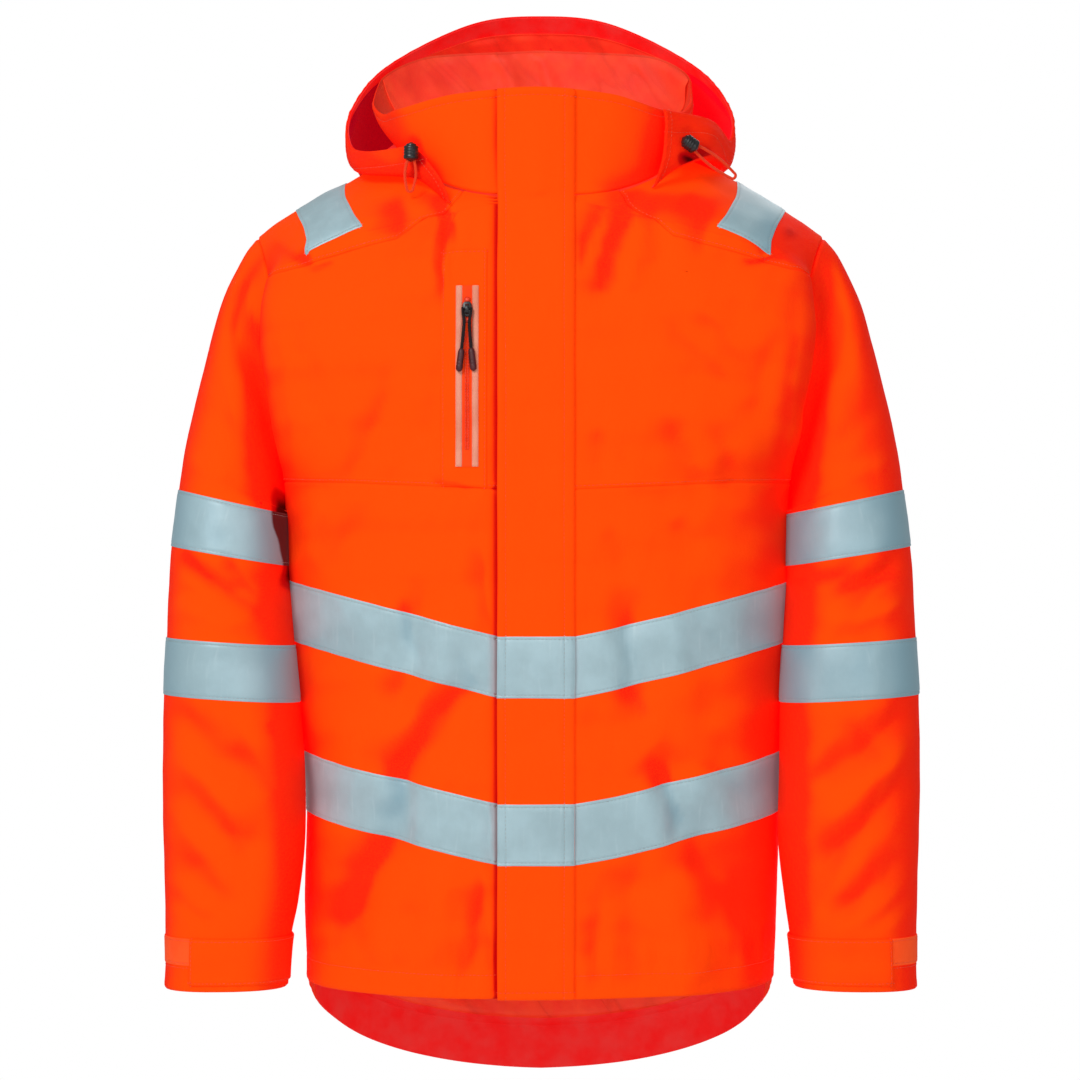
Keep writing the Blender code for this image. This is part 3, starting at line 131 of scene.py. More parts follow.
# Sleeve rings, from the shoulder to the cuff: outer and inner end in the
# front view, half the depth, and how far the ring sits forward.
SLEEVE_COLUMNS = ("out_x", "out_z", "in_x_r", "in_x_l", "in_z", "half_depth", "mid_y")
SLEEVE_RINGS = table("""
head 2558 -530 2195 2115 -2668 500 60
deltoid 2730 -900 2190 2110 -2684 630 40
upper_arm 2842 -1290 2185 2107 -2700 690 10
upper_arm_2 2955 -1760 2180 2105 -2716 710 -40
above_tape 3043 -2190 2172 2100 -2732 710 -100
upper_tape_top 3090 -2540 2160 2095 -2750 700 -180
upper_tape_end 3142 -3020 2150 2090 -3190 690 -260
elbow 3164 -3420 2120 2070 -3520 670 -340
lower_tape_top 3175 -3790 2095 2052 -3860 660 -390
lower_tape_end 3193 -4270 2048 2026 -4340 640 -430
forearm 3207 -4900 2003 2018 -4900 620 -460
forearm_2 3196 -5500 2000 2008 -5500 590 -470
wrist 3183 -6000 2055 2062 -6000 560 -470
tab_top 3176 -6300 2115 2105 -6300 530 -470
grip_end 3176 -6530 2138 2130 -6525 510 -470
tab_end 3182 -6695 2146 2138 -6685 500 -470
cuff 3186 -6750 2146 2138 -6740 500 -470
""", (TENTHS,) * 7)
RING = {name: index + 1 for index, name in enumerate(SLEEVE_RINGS)}
SLEEVE_SQUARE = 2.2

# Collar: the top edge, by angle round the neck from the front centre: angle,
# x, y, z and how far the collar bows out below it.
COLLAR_TOP = numbers("""
-180 0 980 1370 40
-140 -950 900 1310 60
-112 -1420 550 1040 80
-90 -1460 150 810 80
-70 -1330 -300 660 60
-54 -1180 -680 665 30
-30 -700 -970 755 0
0 -40 -1090 795 0
30 560 -990 755 0
54 1010 -700 660 30
72 1180 -300 680 60
92 1300 150 840 80
114 1310 550 1060 80
140 950 900 1310 60
180 0 980 1370 40
""", (1,) + (TENTHS,) * 4)

# Hood, thrown back: stations from its front corner on the collar to the
# centre back, wearer's right; each has the points of its outer profile from
# the neck seam, down into the bag and up to the rim.
HOOD_STATIONS = table("""
corner 765 -1060 -180  800 -1070 -70  850 -1060 40  920 -1020 140  1000 -960 240  1090 -880 330
cheek 1130 -520 195  1225 -510 160  1350 -490 120  1480 -460 130  1530 -420 230  1510 -330 345
side 1235 100 420  1350 110 355  1515 130 260  1640 160 265  1680 170 370  1675 140 480
rear_side 1150 560 570  1290 630 420  1500 740 220  1610 820 260  1665 700 550  1655 380 790
rear 908 800 610  1150 1040 270  1380 1400 -180  1480 1640 100  1470 1350 720  1360 760 1210
rear_back 445 935 600  600 1360 20  800 1820 -750  860 2240 -300  790 1880 820  640 1080 1617
centre 0 979 600  0 1460 -60  0 1960 -980  0 2420 -450  0 2060 850  0 1200 1710
""", (TENTHS,) * 18)
# The wearer's left front of the hood stands higher against the collar.
HOOD_LEFT_STATIONS = {**HOOD_STATIONS, **table("""
corner 945 -850 -30  990 -860 100  1025 -860 240  1040 -850 380  1045 -830 520  1035 -800 645
cheek 1130 -520 200  1240 -550 210  1370 -550 270  1450 -500 370  1470 -420 500  1440 -330 615
side 1235 100 420  1350 110 355  1515 130 260  1620 150 270  1655 140 370  1640 100 480
""", (TENTHS,) * 18)}

# Large soft folds: x1, z1, x2, z2, half width and height in the front view.
# A negative height is a trough. Heights run out at both ends.
LENGTHS = (TENTHS,) * 6
FRONT_FOLDS = table("""
collar_pull 680 -300 520 -920 80 -22;  collar_ridge 860 -340 700 -900 90 16
pocket_pull -770 -350 -800 -1050 70 -18;  chest_left 1040 -2000 1340 -2620 120 -20
chest_left_2 1460 -2050 1680 -2620 120 -16;  chest_right -1180 -1800 -1600 -2500 130 -14
tape_right -1000 -3450 -1220 -4450 130 -34;  tape_right_ridge -700 -3600 -880 -4400 140 22
tape_left 680 -3500 820 -4500 130 -30;  tape_left_ridge 1060 -3450 1180 -4400 160 22
drape_right -710 -4200 -1250 -5000 140 -34;  drape_right_2 -1180 -5300 -1720 -6450 180 -44
drape_right_3 -750 -5600 -1000 -6600 180 30;  low_tape_right -1080 -4700 -1180 -5450 140 -26
low_tape_left 1040 -4700 1160 -5450 140 -30;  drape_left 1200 -5300 1820 -6100 170 -44
drape_left_2 700 -5700 850 -6720 180 -32;  drape_left_3 1050 -5900 1300 -6760 160 36
collar_pull_2 490 -200 370 -700 60 -12;  collar_pull_3 980 -400 1000 -720 70 -12
flap_side 500 -2050 500 -2500 60 -10;  flap_side_2 560 -2900 700 -3180 80 -14
pocket_foot -900 -2520 -550 -2560 40 -12;  pocket_side -790 -50 -800 -900 50 -14
shoulder_right -2180 -520 -1960 -700 50 -16;  shoulder_left 1840 -560 2020 -520 50 -16
armhole_right -2000 -1300 -1760 -2150 100 -14;  armhole_left 1960 -1250 1760 -2000 100 -14
chest_ridge_right -960 -1400 -1300 -2250 160 10;  chest_ridge_left 1280 -1700 1500 -2400 150 11
under_chest_left 1120 -2840 1340 -3060 90 -14;  under_chest_right -1500 -2750 -1780 -3300 120 -13
side_right -1860 -2620 -1920 -3180 80 14;  hip_ridge_right -1500 -4550 -1700 -5200 130 14
hip_ridge_left 1500 -4400 1760 -5000 130 12;  flap_drape_right -460 -5900 -620 -6720 100 -18
flap_drape_left 420 -6000 520 -6750 100 -18
""", LENGTHS)
BACK_FOLDS = table("""
blade_right -1100 -1300 -1650 -2400 160 -30;  blade_left 1150 -1400 1720 -2350 160 -28
waist_right -600 -3300 -1200 -4550 180 -38;  waist_left 750 -3450 1250 -4700 170 -36
waist_centre -100 -3600 120 -4800 200 30;  tail_right -900 -5400 -1300 -6900 200 -42
tail_left 800 -5600 1200 -7000 180 -40;  tail_centre 50 -5600 -50 -7400 240 34
blade_ridge_right -700 -1200 -1200 -2500 200 16;  blade_ridge_left 600 -1100 1200 -2450 200 15
spine 60 -800 -40 -2300 120 -12;  rib_right -1500 -2800 -1050 -3300 110 -18
rib_left 1600 -2700 1120 -3350 120 -20;  hip_left 1500 -4500 1720 -5600 160 -22
hip_right -1400 -4400 -1760 -5500 160 -20;  tail_low 400 -6600 520 -7550 140 -18
tail_low_2 -450 -6500 -600 -7500 140 -20
""", LENGTHS)
# On the sleeves, x is the distance from the centre line.
SLEEVE_FRONT_FOLDS = table("""
shoulder 2360 -600 2620 -1180 80 -30;  shoulder_2 2620 -1100 2460 -1600 90 -24
under_tape 3000 -3180 2460 -3450 90 -36;  elbow 3050 -3520 2400 -3660 90 26
forearm 3060 -4400 2360 -5000 130 -46;  forearm_2 3080 -5000 2320 -5660 130 -40
forearm_ridge 3020 -4740 2460 -5300 110 26;  wrist 3040 -5600 2500 -6100 120 -30
crown 2400 -660 2680 -1000 50 -14;  upper_1 2920 -1800 2460 -2140 100 -13
upper_2 3000 -2260 2620 -2440 80 12;  set_1 3060 -3120 2700 -3320 50 -16
set_2 2620 -3180 2320 -3360 60 -15;  set_3 3000 -3400 2620 -3620 60 -14
wrist_2 3120 -5920 2720 -6220 80 -14;  wrist_3 2500 -4700 2260 -5000 80 -16
""", LENGTHS)
SLEEVE_BACK_FOLDS = table("""
elbow 3000 -3300 2400 -3520 100 -40;  elbow_2 3040 -3660 2380 -3920 100 -36
forearm 3000 -4700 2400 -5200 130 -42;  forearm_2 3040 -5400 2440 -5850 130 -34
upper_arm 2620 -1500 2900 -2250 140 -30;  upper_2 2850 -2500 2460 -2780 110 -14
elbow_3 2960 -3120 2620 -3220 60 -18;  wrist 3060 -5900 2620 -6180 90 -16
""", LENGTHS)

# Soft hollows that lie in their own shade: x1, z1, x2, z2, half width, and the
# depth of the shade in hundredths; above 100 the shade turns dark.
SHADES = {name: numbers(text, (TENTHS,) * 5 + (100,)) for name, text in {
    "body": """
-1214 -80 -1164 -477 107 120, -809 -80 -727 -510 66 120, -1015 -47 -784 -146 74 90, -1445 -212 -834 -345 149 45,
-826 -460 -826 -923 33 35, 537 -80 1511 -130 107 110, 735 -163 520 -989 99 120, 471 -163 338 -675 66 70,
949 -146 817 -592 74 50, 1412 -146 1280 -576 107 90, 817 -204 1643 -287 132 40, -2014 -518 -1899 -733 41 80,
-1907 -733 -1734 -667 33 60, -2303 -435 -1990 -675 66 35, 1692 -667 1907 -617 33 80, 1891 -617 2122 -526 33 80,
2122 -212 2287 -625 165 155, 1874 -212 2155 -427 116 80, 1082 -1211 1593 -1699 74 40,
1015 -1963 1304 -2417 74 35, 1437 -2062 1610 -2417 58 35, 1288 -1079 1684 -1476 66 35,
-1172 -1500 -1569 -2384 83 30, -999 -1236 -1123 -1583 66 20, 454 -2062 751 -2392 66 25,
2138 -989 1990 -2689 58 50, -2204 -1236 -2072 -2392 50 25, -512 -3102 -421 -3713 66 60,
-652 -3895 -487 -4291 74 75, -619 -4159 -1098 -4869 116 90, -1098 -4819 -1288 -5331 116 80,
-1222 -5414 -1676 -6190 132 95, -528 -5711 -421 -6636 74 60, -966 -5909 -1148 -6586 99 40,
619 -4109 916 -4423 83 80, 875 -4786 1098 -5051 99 100, 1106 -5381 1684 -6206 107 85,
1626 -5901 1825 -6636 74 60, 504 -5777 405 -6586 66 35, 1313 -5612 1527 -6438 66 30,
-1560 -5983 -1395 -6561 74 40, -2006 -3796 -1891 -6520 99 40, 2056 -3796 1907 -6520 165 45,
-1139 -3515 -1015 -3961 50 90, 710 -3589 842 -4283 58 90, -1156 -4811 -1090 -5546 66 90,
1040 -4902 1156 -5364 58 100, -479 -5199 -405 -5711 41 70, 405 -5207 636 -5587 41 40,
1321 -3680 1635 -3977 41 40, 1313 -4819 1692 -5051 41 40, -1742 -3482 -1577 -3878 58 35,
-1577 -4869 -1676 -5216 66 35
""",
    "right": """
-2339 -1092 -2348 -2006 91 150, -2348 -2006 -2247 -2702 99 160, -2264 -496 -2524 -790 58 70,
-2524 -773 -2541 -974 50 80, -2541 -974 -2339 -1327 58 95, -2138 -622 -2381 -974 41 50,
-2088 -3440 -2214 -2584 140 390, -2977 -3079 -2658 -3398 58 75, -2658 -3389 -2306 -3599 74 80,
-2633 -3113 -2390 -3431 58 70, -2214 -3255 -2180 -3825 99 110, -2096 -4228 -2046 -6031 99 90,
-2583 -4513 -2155 -5200 83 40, -2943 -4630 -2490 -5569 74 35, -3111 -5301 -2625 -5955 74 35,
-2256 -4496 -2096 -4647 50 70, -2708 -1578 -2583 -2081 50 35, -2826 -958 -2943 -1628 58 25,
-2759 -2635 -2675 -3071 66 35
""",
    "left": """
2398 -505 2406 -1335 124 155, 2390 -1335 2222 -2718 132 160, 2725 -1628 2775 -2677 116 45,
2549 -639 2608 -1209 50 -30, 2054 -3289 3027 -3255 83 65, 2205 -3104 2205 -3976 165 110,
3027 -3037 2532 -3641 74 60, 2138 -4228 2155 -5653 157 130, 2859 -4882 2323 -5955 91 50,
3077 -5200 2532 -6156 83 40, 2172 -5569 2222 -6240 99 80, 2742 -3808 2692 -4312 66 30,
2591 -4479 2843 -4815 74 35
""",
    "neck": """
-960 234 -743 -233 91 110, 1026 668 960 51 74 100, 960 51 476 -66 74 90, -1227 134 -759 -233 132 100,
-1594 318 -1193 51 132 100, 1127 602 1544 118 215 150, 1293 301 1661 134 99 100, -1093 284 -1010 -33 66 100,
-1060 418 -985 151 50 160, 1177 284 1343 168 58 150
""",
}.items()}

SIDES = {"right": -1.0, "left": 1.0}     # the wearer's sides


# ---------------- helpers
def through(values, at, keep_shape=True):
    """A smooth curve through values at 0, 1, 2 ...; keep_shape avoids overshoot."""
    values = np.asarray(values, float)
    at = np.asarray(at, float)
    step = np.clip(np.floor(at).astype(int), 0, len(values) - 2)
    slope = np.diff(values, axis=0)
    before, after = slope[:-1], slope[1:]
    if keep_shape:
        total = before + after
        safe = np.where(np.abs(total) < 1e-12, 1.0, total)
        middle = np.where(before * after > 0, 2 * before * after / safe, 0.0)
    else:
        middle = (before + after) / 2
    tangent = np.concatenate([slope[:1], middle, slope[-1:]])
    f = at - step
    f = f.reshape(f.shape + (1,) * (values.ndim - 1))
    h1 = f * f * (3 - 2 * f)
    return (values[step] * (1 - h1) + values[step + 1] * h1
            + tangent[step] * (f * (1 - f) ** 2) - tangent[step + 1] * (f * f * (1 - f)))


def steps(points, axis=0):
    """Distances between neighbouring points along an axis."""
    return np.linalg.norm(np.diff(points, axis=axis), axis=-1)


def signed_power(value, exponent):
    return np.sign(value) * np.abs(value) ** exponent


def unit(vectors):
    return vectors / np.maximum(np.linalg.norm(vectors, axis=-1, keepdims=True), 1e-12)


def fold_height(points, folds):
    """Sum of the folds' heights at points in the front view; shades have one crisp side."""
    x, z = points[..., 0], points[..., 2]
    x, z = (x + 0.0012 * np.sin(z * 118 + x * 40) + 0.0005 * np.sin(z * 263 + 1.0),
            z + 0.0012 * np.sin(x * 126 - z * 35 + 0.6) + 0.0005 * np.sin(x * 291))
    one_sided = not isinstance(folds, dict)
    height = np.zeros_like(x)
    for x1, z1, x2, z2, half_width, size in folds if one_sided else folds.values():
        dx, dz = x2 - x1, z2 - z1
        length = math.hypot(dx, dz)
        along = ((x - x1) * dx + (z - z1) * dz) / length ** 2
        across = ((x - x1) * dz - (z - z1) * dx) / length
        ends = np.clip(np.minimum(along + 0.2, 1.2 - along) / 0.45, 0, 1)
        if one_sided:       # crisp towards the right, soft towards the left
            half_width = half_width * np.where(across > 0, 1.5, 0.62)
        height += size * np.exp(-(across / half_width) ** 2) * ends * ends * (3 - 2 * ends)
    return height


FLIP = {side: np.array([side, 1.0, 1.0]) for side in (-1.0, 1.0)}


def slack(points, seed=0.0):
    """Slow unevenness of cloth that hangs loose, without a direction of its own."""
    x, y, z = np.moveaxis(points, -1, 0)
    wide = np.sin(x * 33 + z * 21 + seed) * np.sin(z * 38 - x * 17 + 2 * seed + 1.3)
    fine = np.sin(x * 71 - z * 52 + y * 31 + seed) * np.sin(z * 87 + x * 49 + 0.4 - seed)
    small = np.sin(x * 163 + z * 117 + 2.2 * seed) * np.sin(z * 181 - x * 139 + y * 90)
    return 0.00085 * wide + 0.00055 * fine + 0.00016 * small


# ---------------- torso form
def inner_ends(t):
    """Where rows start: the centre line, then the neckline, with corners between."""
    rows = np.array(list(TORSO_ROWS.values()))[:, :3]
    front, back = ROW["neck_front"], ROW["neck_back"]
    low = through(rows[:front + 1], np.minimum(t, front))
    neck = through(rows[front:back + 1], np.clip(t, front, back) - front, keep_shape=False)
    high = through(rows[back:], np.maximum(t, back) - back)
    t = t[..., None]
    return np.where(t < front, low, np.where(t > back, high, neck))


def torso_base(side, s, t):
    """Points of the half torso; s runs from centre to side, t over the shoulder."""
    s, t = np.broadcast_arrays(np.asarray(s, float), np.asarray(t, float))
    table = through(list(TORSO_ROWS.values()), t)
    table[..., :3] = inner_ends(t)
    row = dict(zip(TORSO_COLUMNS, np.moveaxis(table, -1, 0)))
    out_x = row["out_x_r"] if side < 0 else row["out_x_l"]
    roll = np.radians(row["roll"])
    power = 2 / row["square"]
    turn = s * roll
    f = signed_power(np.sin(turn), power) / signed_power(np.sin(roll), power)
    g = (1 - signed_power(np.cos(turn), power)) / (1 - signed_power(np.cos(roll), power))
    h = f + (g - f) * row["crown"]
    x = row["in_x"] + (out_x - row["in_x"]) * f
    y = row["in_y"] + (row["out_y"] - row["in_y"]) * g
    z = row["in_z"] + (row["out_z"] - row["in_z"]) * h
    return np.stack([x, y, z], -1)


def torso(side, s, t, lift=0.0):
    """Folded surface of the half torso, moved out by lift."""
    s, t = np.broadcast_arrays(np.asarray(s, float), np.asarray(t, float))
    d = 1e-3
    base = torso_base(side, s, t)
    last = len(TORSO_ROWS) - 1
    along_s = torso_base(side, np.minimum(s + d, 1), t) - torso_base(side, np.maximum(s - d, 0), t)
    along_t = torso_base(side, s, np.minimum(t + d, last)) - torso_base(side, s, np.maximum(t - d, 0))
    normal = unit(np.cross(along_s, along_t))
    seen = base * FLIP[side]
    front = np.clip((ROW["neck_front"] + 1.5 - t) / 2, 0, 1)
    back = np.clip((t - ROW["neck_back"] + 0.5) / 2, 0, 1)
    edge = np.clip((1 - s) / 0.16, 0, 1)
    height = front * fold_height(seen, FRONT_FOLDS) + back * fold_height(seen, BACK_FOLDS)
    height = (1.6 * height + 1.3 * slack(seen) - 0.0019 * front * fold_height(seen, SHADES["body"])) * edge
    points = base + normal * (height + lift)[..., None]
    return points * FLIP[side]


def bisect(wanted, value, low, high):
    """Positions between low and high where value, which rises, meets wanted."""
    low = np.full_like(wanted, low)
    high = np.full_like(wanted, high)
    for _ in range(40):
        middle = (low + high) / 2
        below = value(middle) < wanted
        low = np.where(below, middle, low)
        high = np.where(below, high, middle)
    return (low + high) / 2


def row_at_height(side, s, height, front=True):
    """The row position t at which column s has z = height(x)."""
    s = np.asarray(s, float)
    if front:
        low, high, sign = 0.0, ROW["neck_cheek"] + 0.5, 1.0
    else:
        low, high, sign = ROW["neck_rear"] + 0.0, len(TORSO_ROWS) - 1.0, -1.0

    def over(t):
        p = torso_base(side, s, t)
        return sign * (p[..., 2] - height(np.abs(p[..., 0])))

    return bisect(np.zeros_like(s), over, low, high)


def column_at_x(side, x, t):
    """The column s at which row t lies at distance x from the centre line."""
    t = np.asarray(t, float)
    return bisect(np.full_like(t, x), lambda s: torso_base(side, s, t)[..., 0], 0.0, 0.6)


def level_then_rise(z, rise):
    return lambda x: z + rise * np.maximum(0.0, x - TAPE_LEVEL_X)


def back_tape(z_side):
    return lambda x: z_side - BACK_TAPE_SAG * (1 - np.clip(x / 0.2, 0, 1) ** 2)


def yoke_seam(x):
    return YOKE_SEAM_Z + YOKE_FALL * (x - YOKE_SEAM_X) + YOKE_SWEEP * np.maximum(0, YOKE_SEAM_X - x) ** 2


# ---------------- sleeve form
def armhole(side, angle):
    """The armhole seam, by the sleeve's own angle (0 top, 90 front, 180 below)."""
    top = torso_base(side, 1.0, ROW["ridge"])[2]
    low = torso_base(side, 1.0, ROW["front_underarm"])[2]
    wanted = (top + low) / 2 + (top - low) / 2 * signed_power(np.cos(angle), 2 / SLEEVE_SQUARE)
    fore = np.linspace(ROW["front_underarm"], ROW["ridge"], 200)
    rear = np.linspace(ROW["back_underarm"], ROW["ridge"], 200)
    t_front = np.interp(wanted, torso_base(side, 1.0, fore)[:, 2], fore)
    t_back = np.interp(wanted, torso_base(side, 1.0, rear)[:, 2], rear)
    t = np.where(np.sin(angle) >= 0, t_front, t_back)
    return torso_base(side, np.ones_like(t), t)


def sleeve_base(side, angle, ring):
    """Points by ring and angle; the angle runs outer, front, inner, back."""
    ring = np.asarray(ring, float)
    power = 2 / SLEEVE_SQUARE
    c, s = signed_power(np.cos(angle), power), signed_power(np.sin(angle), power)
    keys = [armhole(side, angle)]
    for values in SLEEVE_RINGS.values():
        row = dict(zip(SLEEVE_COLUMNS, values))
        in_x = row["in_x_r"] if side < 0 else row["in_x_l"]
        outer, inner = np.array([row["out_x"], row["out_z"]]), np.array([in_x, row["in_z"]])
        middle, reach = (outer + inner) / 2, (outer - inner) / 2
        keys.append(np.stack([middle[0] + reach[0] * c, row["mid_y"] - row["half_depth"] * s,
            middle[1] + reach[1] * c], -1))
    return through(np.array(keys), ring, keep_shape=False)


def sleeve(side, angle, ring, lift=0.0):
    """Folded sleeve surface as (rings, angles, 3), moved out by lift."""
    angle, ring = np.asarray(angle, float), np.asarray(ring, float)
    d = 1e-3
    last = len(SLEEVE_RINGS)
    base = sleeve_base(side, angle, ring)
    along_a = sleeve_base(side, angle + d, ring) - sleeve_base(side, angle - d, ring)
    along_r = sleeve_base(side, angle, np.minimum(ring + d, last)) - sleeve_base(side, angle, np.maximum(ring - d, 0))
    normal = unit(np.cross(along_a, along_r))
    started = np.clip(ring / 1.5, 0, 1)[:, None]
    inward = np.clip(1.5 + np.cos(angle) * 1.6, 0, 1)
    height = np.clip(-normal[..., 1] * 1.5, 0, 1) * fold_height(base, SLEEVE_FRONT_FOLDS)
    height = height + np.clip(normal[..., 1] * 1.5, 0, 1) * fold_height(base, SLEEVE_BACK_FOLDS)
    pressed = fold_height(base * FLIP[side], SHADES["right" if side < 0 else "left"])
    height = height - 0.0010 * np.clip(-normal[..., 1] * 1.5, 0, 1) * pressed
    height = (1.1 * height + 0.8 * slack(base, 2.0 + side)) * started * inward * np.clip(1.5 - np.cos(angle), 0.35, 1)
    points = base + normal * (height + lift)[..., None]
    return points * FLIP[side]


# ---------------- collar form
def neckline(angle):
    """The neck seam by angle in degrees, 0 at the front, 180 at the back."""
    t = ROW["neck_front"] + np.abs(angle) / 180 * (ROW["neck_back"] - ROW["neck_front"])
    return inner_ends(t) * np.stack([np.where(angle < 0, -1.0, 1.0), np.ones_like(t), np.ones_like(t)], -1)


def collar_base(angle, v):
    """Collar points for arrays of angle and height; v is 0 at the seam, 1 at the top."""
    angle, v = np.broadcast_arrays(np.asarray(angle, float), np.asarray(v, float))
    angle = (angle + 180) % 360 - 180
    low = neckline(angle)
    top = through(COLLAR_TOP[:, 1:], np.interp(angle, COLLAR_TOP[:, 0], np.arange(len(COLLAR_TOP))))
    out = unit(low * np.array([1.0, 1.0, 0.0]))
    v = v[..., None]
    return low * (1 - v) + top[..., :3] * v + out * top[..., 3:] * 4 * v * (1 - v)


def collar(angle, v, lift=0.0):
    turn, rise = 0.4, 0.01
    along_angle = collar_base(angle + turn, v) - collar_base(angle - turn, v)
    normal = unit(np.cross(along_angle, collar_base(angle, v + rise) - collar_base(angle, v - rise)))
    return collar_base(angle, v) + normal * np.asarray(lift, float)[..., None]


def collar_angle_at(x, v):
    """The angle near the front at which the collar lies at x, for heights v."""
    v = np.asarray(v, float)
    return bisect(np.full_like(v, x), lambda angle: collar_base(angle, v)[..., 0], -45.0, 45.0)


# ---------------- hood form
def hood(u, v, lift=0.0):
    """Hood surface as (profile, stations, 3); u is -6 to 6 round the back."""
    half, left = (np.array(list(stations.values())).reshape(-1, 6, 3)
        for stations in (HOOD_STATIONS, HOOD_LEFT_STATIONS))
    keys = np.concatenate([half * np.array([-1, 1, 1]), left[-2::-1]])

    def base(u, v):
        columns = through(keys, np.asarray(u, float) + len(half) - 1, keep_shape=False)
        return through(np.swapaxes(columns, 0, 1), np.asarray(v, float), keep_shape=False)

    u, v = np.asarray(u, float), np.asarray(v, float)
    d = 1e-3
    low_u, high_u = np.maximum(u - d, 1 - len(half)), np.minimum(u + d, len(half) - 1)
    low_v, high_v = np.maximum(v - d, 0), np.minimum(v + d, half.shape[1] - 1)
    normal = unit(np.cross(base(high_u, v) - base(low_u, v), base(u, high_v) - base(u, low_v)))
    return base(u, v) - normal * np.asarray(lift, float)[..., None]



# ---------------- finer grids
PITCH = 0.0044                  # grid step on open cloth
BESIDE = (0.0, 0.0006, 0.0013, 0.0021, 0.0031, 0.0043, 0.0060)   # rows beside an edge
ROUND_STITCH = (-0.0014, -0.0006, 0.0, 0.0006, 0.0014)

# How cloth is finished along an edge: how far it dips, the width of the dip,
# the height and place of the ridge that the turned cloth makes, and where its
# stitch lines run, from the edge.
EDGE_COLUMNS = ("dip", "dip_width", "ridge", "ridge_at", "stitches", "pucker")
EDGES = {
    "plain": (0.0, 0.001, 0.0, 0.002, (), 0.0),
    "seam": (0.0011, 0.0010, 0.00025, 0.0030, (), 0.00010),
    "topstitched": (0.0008, 0.0010, 0.00035, 0.0030, (0.0024,), 0.00022),
    "folded": (0.0004, 0.0008, 0.00025, 0.0030, (0.0068,), 0.00030),
    "hem": (0.0004, 0.0009, 0.00030, 0.0040, (0.0200,), 0.00045),
    "taped": (0.0002, 0.0006, 0.0, 0.0020, (0.0025,), 0.00020),
    "bound": (0.0005, 0.0009, 0.00040, 0.0034, (0.0086,), 0.00026),
    "patch": (0.0003, 0.0006, 0.00015, 0.0018, (0.0020,), 0.00012),
}


def edge(kind):
    return dict(zip(EDGE_COLUMNS, EDGES[kind]))


def stops(length, first="plain", last="plain"):
    """Places from 0 to length: even on open cloth, close together beside worked edges."""
    close = []
    for kind, turned in ((first, False), (last, True)):
        if kind != "plain":
            places = list(BESIDE) + [q + d for q in edge(kind)["stitches"] for d in ROUND_STITCH]
            close += [length - p if turned else p for p in places]
    close = [p for p in close if 0 < p < length] + [0.0, length]
    even = [p for p in np.linspace(0, length, max(2, round(length / PITCH) + 1))
            if min(abs(p - c) for c in close) > 0.45 * PITCH]
    places = sorted(close + even)
    kept = [places[0]]
    for p in places[1:-1]:
        if p - kept[-1] > 0.0004 and length - p > 0.0004:
            kept.append(p)
    return np.array(kept + [places[-1]]) / length


def length_between(point, first, last):
    """Mean length over the cloth from row positions first to last; point gives points."""
    part = np.linspace(0, 1, 13)[:, None]
    return float(steps(point(first * (1 - part) + last * part)).sum(0).mean())


def rows_through(point, lines, order, kinds):
    """Fine rows through the named lines; kinds gives the finish below and above each interval."""
    parts = []
    for (a, b), (low, high) in zip(zip(order, order[1:]), kinds):
        f = stops(length_between(point, lines[a], lines[b]), low, high)[:, None]
        parts.append((lines[a] * (1 - f) + lines[b] * f)[:-1])
    return np.concatenate(parts + [lines[order[-1]][None]])


def places_along(points, first, last, worked=()):
    """Fine column places, in units of the coarse columns; worked ones have close columns beside them."""
    lengths = steps(points)
    places = []
    for j, length in enumerate(lengths):
        low = first if j == 0 else ("taped" if j in worked else "plain")
        high = last if j == len(lengths) - 1 else ("taped" if j + 1 in worked else "plain")
        places.append(j + stops(length, low, high)[:-1])
    return np.append(np.concatenate(places), len(lengths))


def finer(values, places):
    """Values of coarse columns (the last axis) at fine column places."""
    values = np.asarray(values, float)
    low = np.clip(np.floor(places).astype(int), 0, values.shape[-1] - 2)
    f = places - low
    return values[..., low] * (1 - f) + values[..., low + 1] * f


# ---------------- relief along edges
def spans(points):
    """Distances over the cloth from a grid's edges, in metres."""
    across = steps(points, 1)
    along = steps(points)
    from_start = np.concatenate([np.zeros((points.shape[0], 1)), np.cumsum(across, axis=1)], axis=1)
    from_bottom = np.concatenate([np.zeros((1, points.shape[1])), np.cumsum(along, axis=0)], axis=0)
    found = {"bottom": from_bottom, "top": from_bottom[-1:] - from_bottom}
    found["start"], found["end"] = from_start, from_start[:, -1:] - from_start
    return found


def hump(distance, at, width):
    return np.exp(-((distance - at) / width) ** 2)


def ripple(along, seed):
    """Uneven small waves along a seam, between -1 and 1."""
    phase = 1.7 * seed
    return (0.55 * np.sin(along * 590 + phase) + 0.30 * np.sin(along * 331 + 2.3 * phase)
            + 0.25 * np.sin(along * 1010 + 0.7 * phase) * np.sin(along * 57 + phase))


def edge_relief(kind, distance, along, seed):
    """Height of the cloth beside one worked edge."""
    e = edge(kind)
    height = -e["dip"] * hump(distance, 0, e["dip_width"]) + e["ridge"] * hump(distance, e["ridge_at"], 0.0022)
    reach = 0.004
    for q in e["stitches"]:
        height = height - 0.00042 * hump(distance, q, 0.0008)
        reach = max(reach, q)
    fade = np.exp(-(np.maximum(distance - reach * 0.5, 0) / (0.004 + reach * 0.35)) ** 2)
    return height + e["pucker"] * ripple(along, seed) * fade * np.clip(distance / 0.0015, 0, 1)


def rounded(reach, kinds):
    """How far the faces of a wall close in on each other beside turned edges."""
    share = np.zeros_like(reach["bottom"])
    for where, kind in kinds.items():
        if kind in ("folded", "hem", "patch", "taped"):
            share = np.maximum(share, 0.42 * np.exp(-(reach[where] / 0.0008) ** 2))
    return share


SIDE_OF = {"bottom": "start", "top": "start", "start": "bottom", "end": "bottom"}


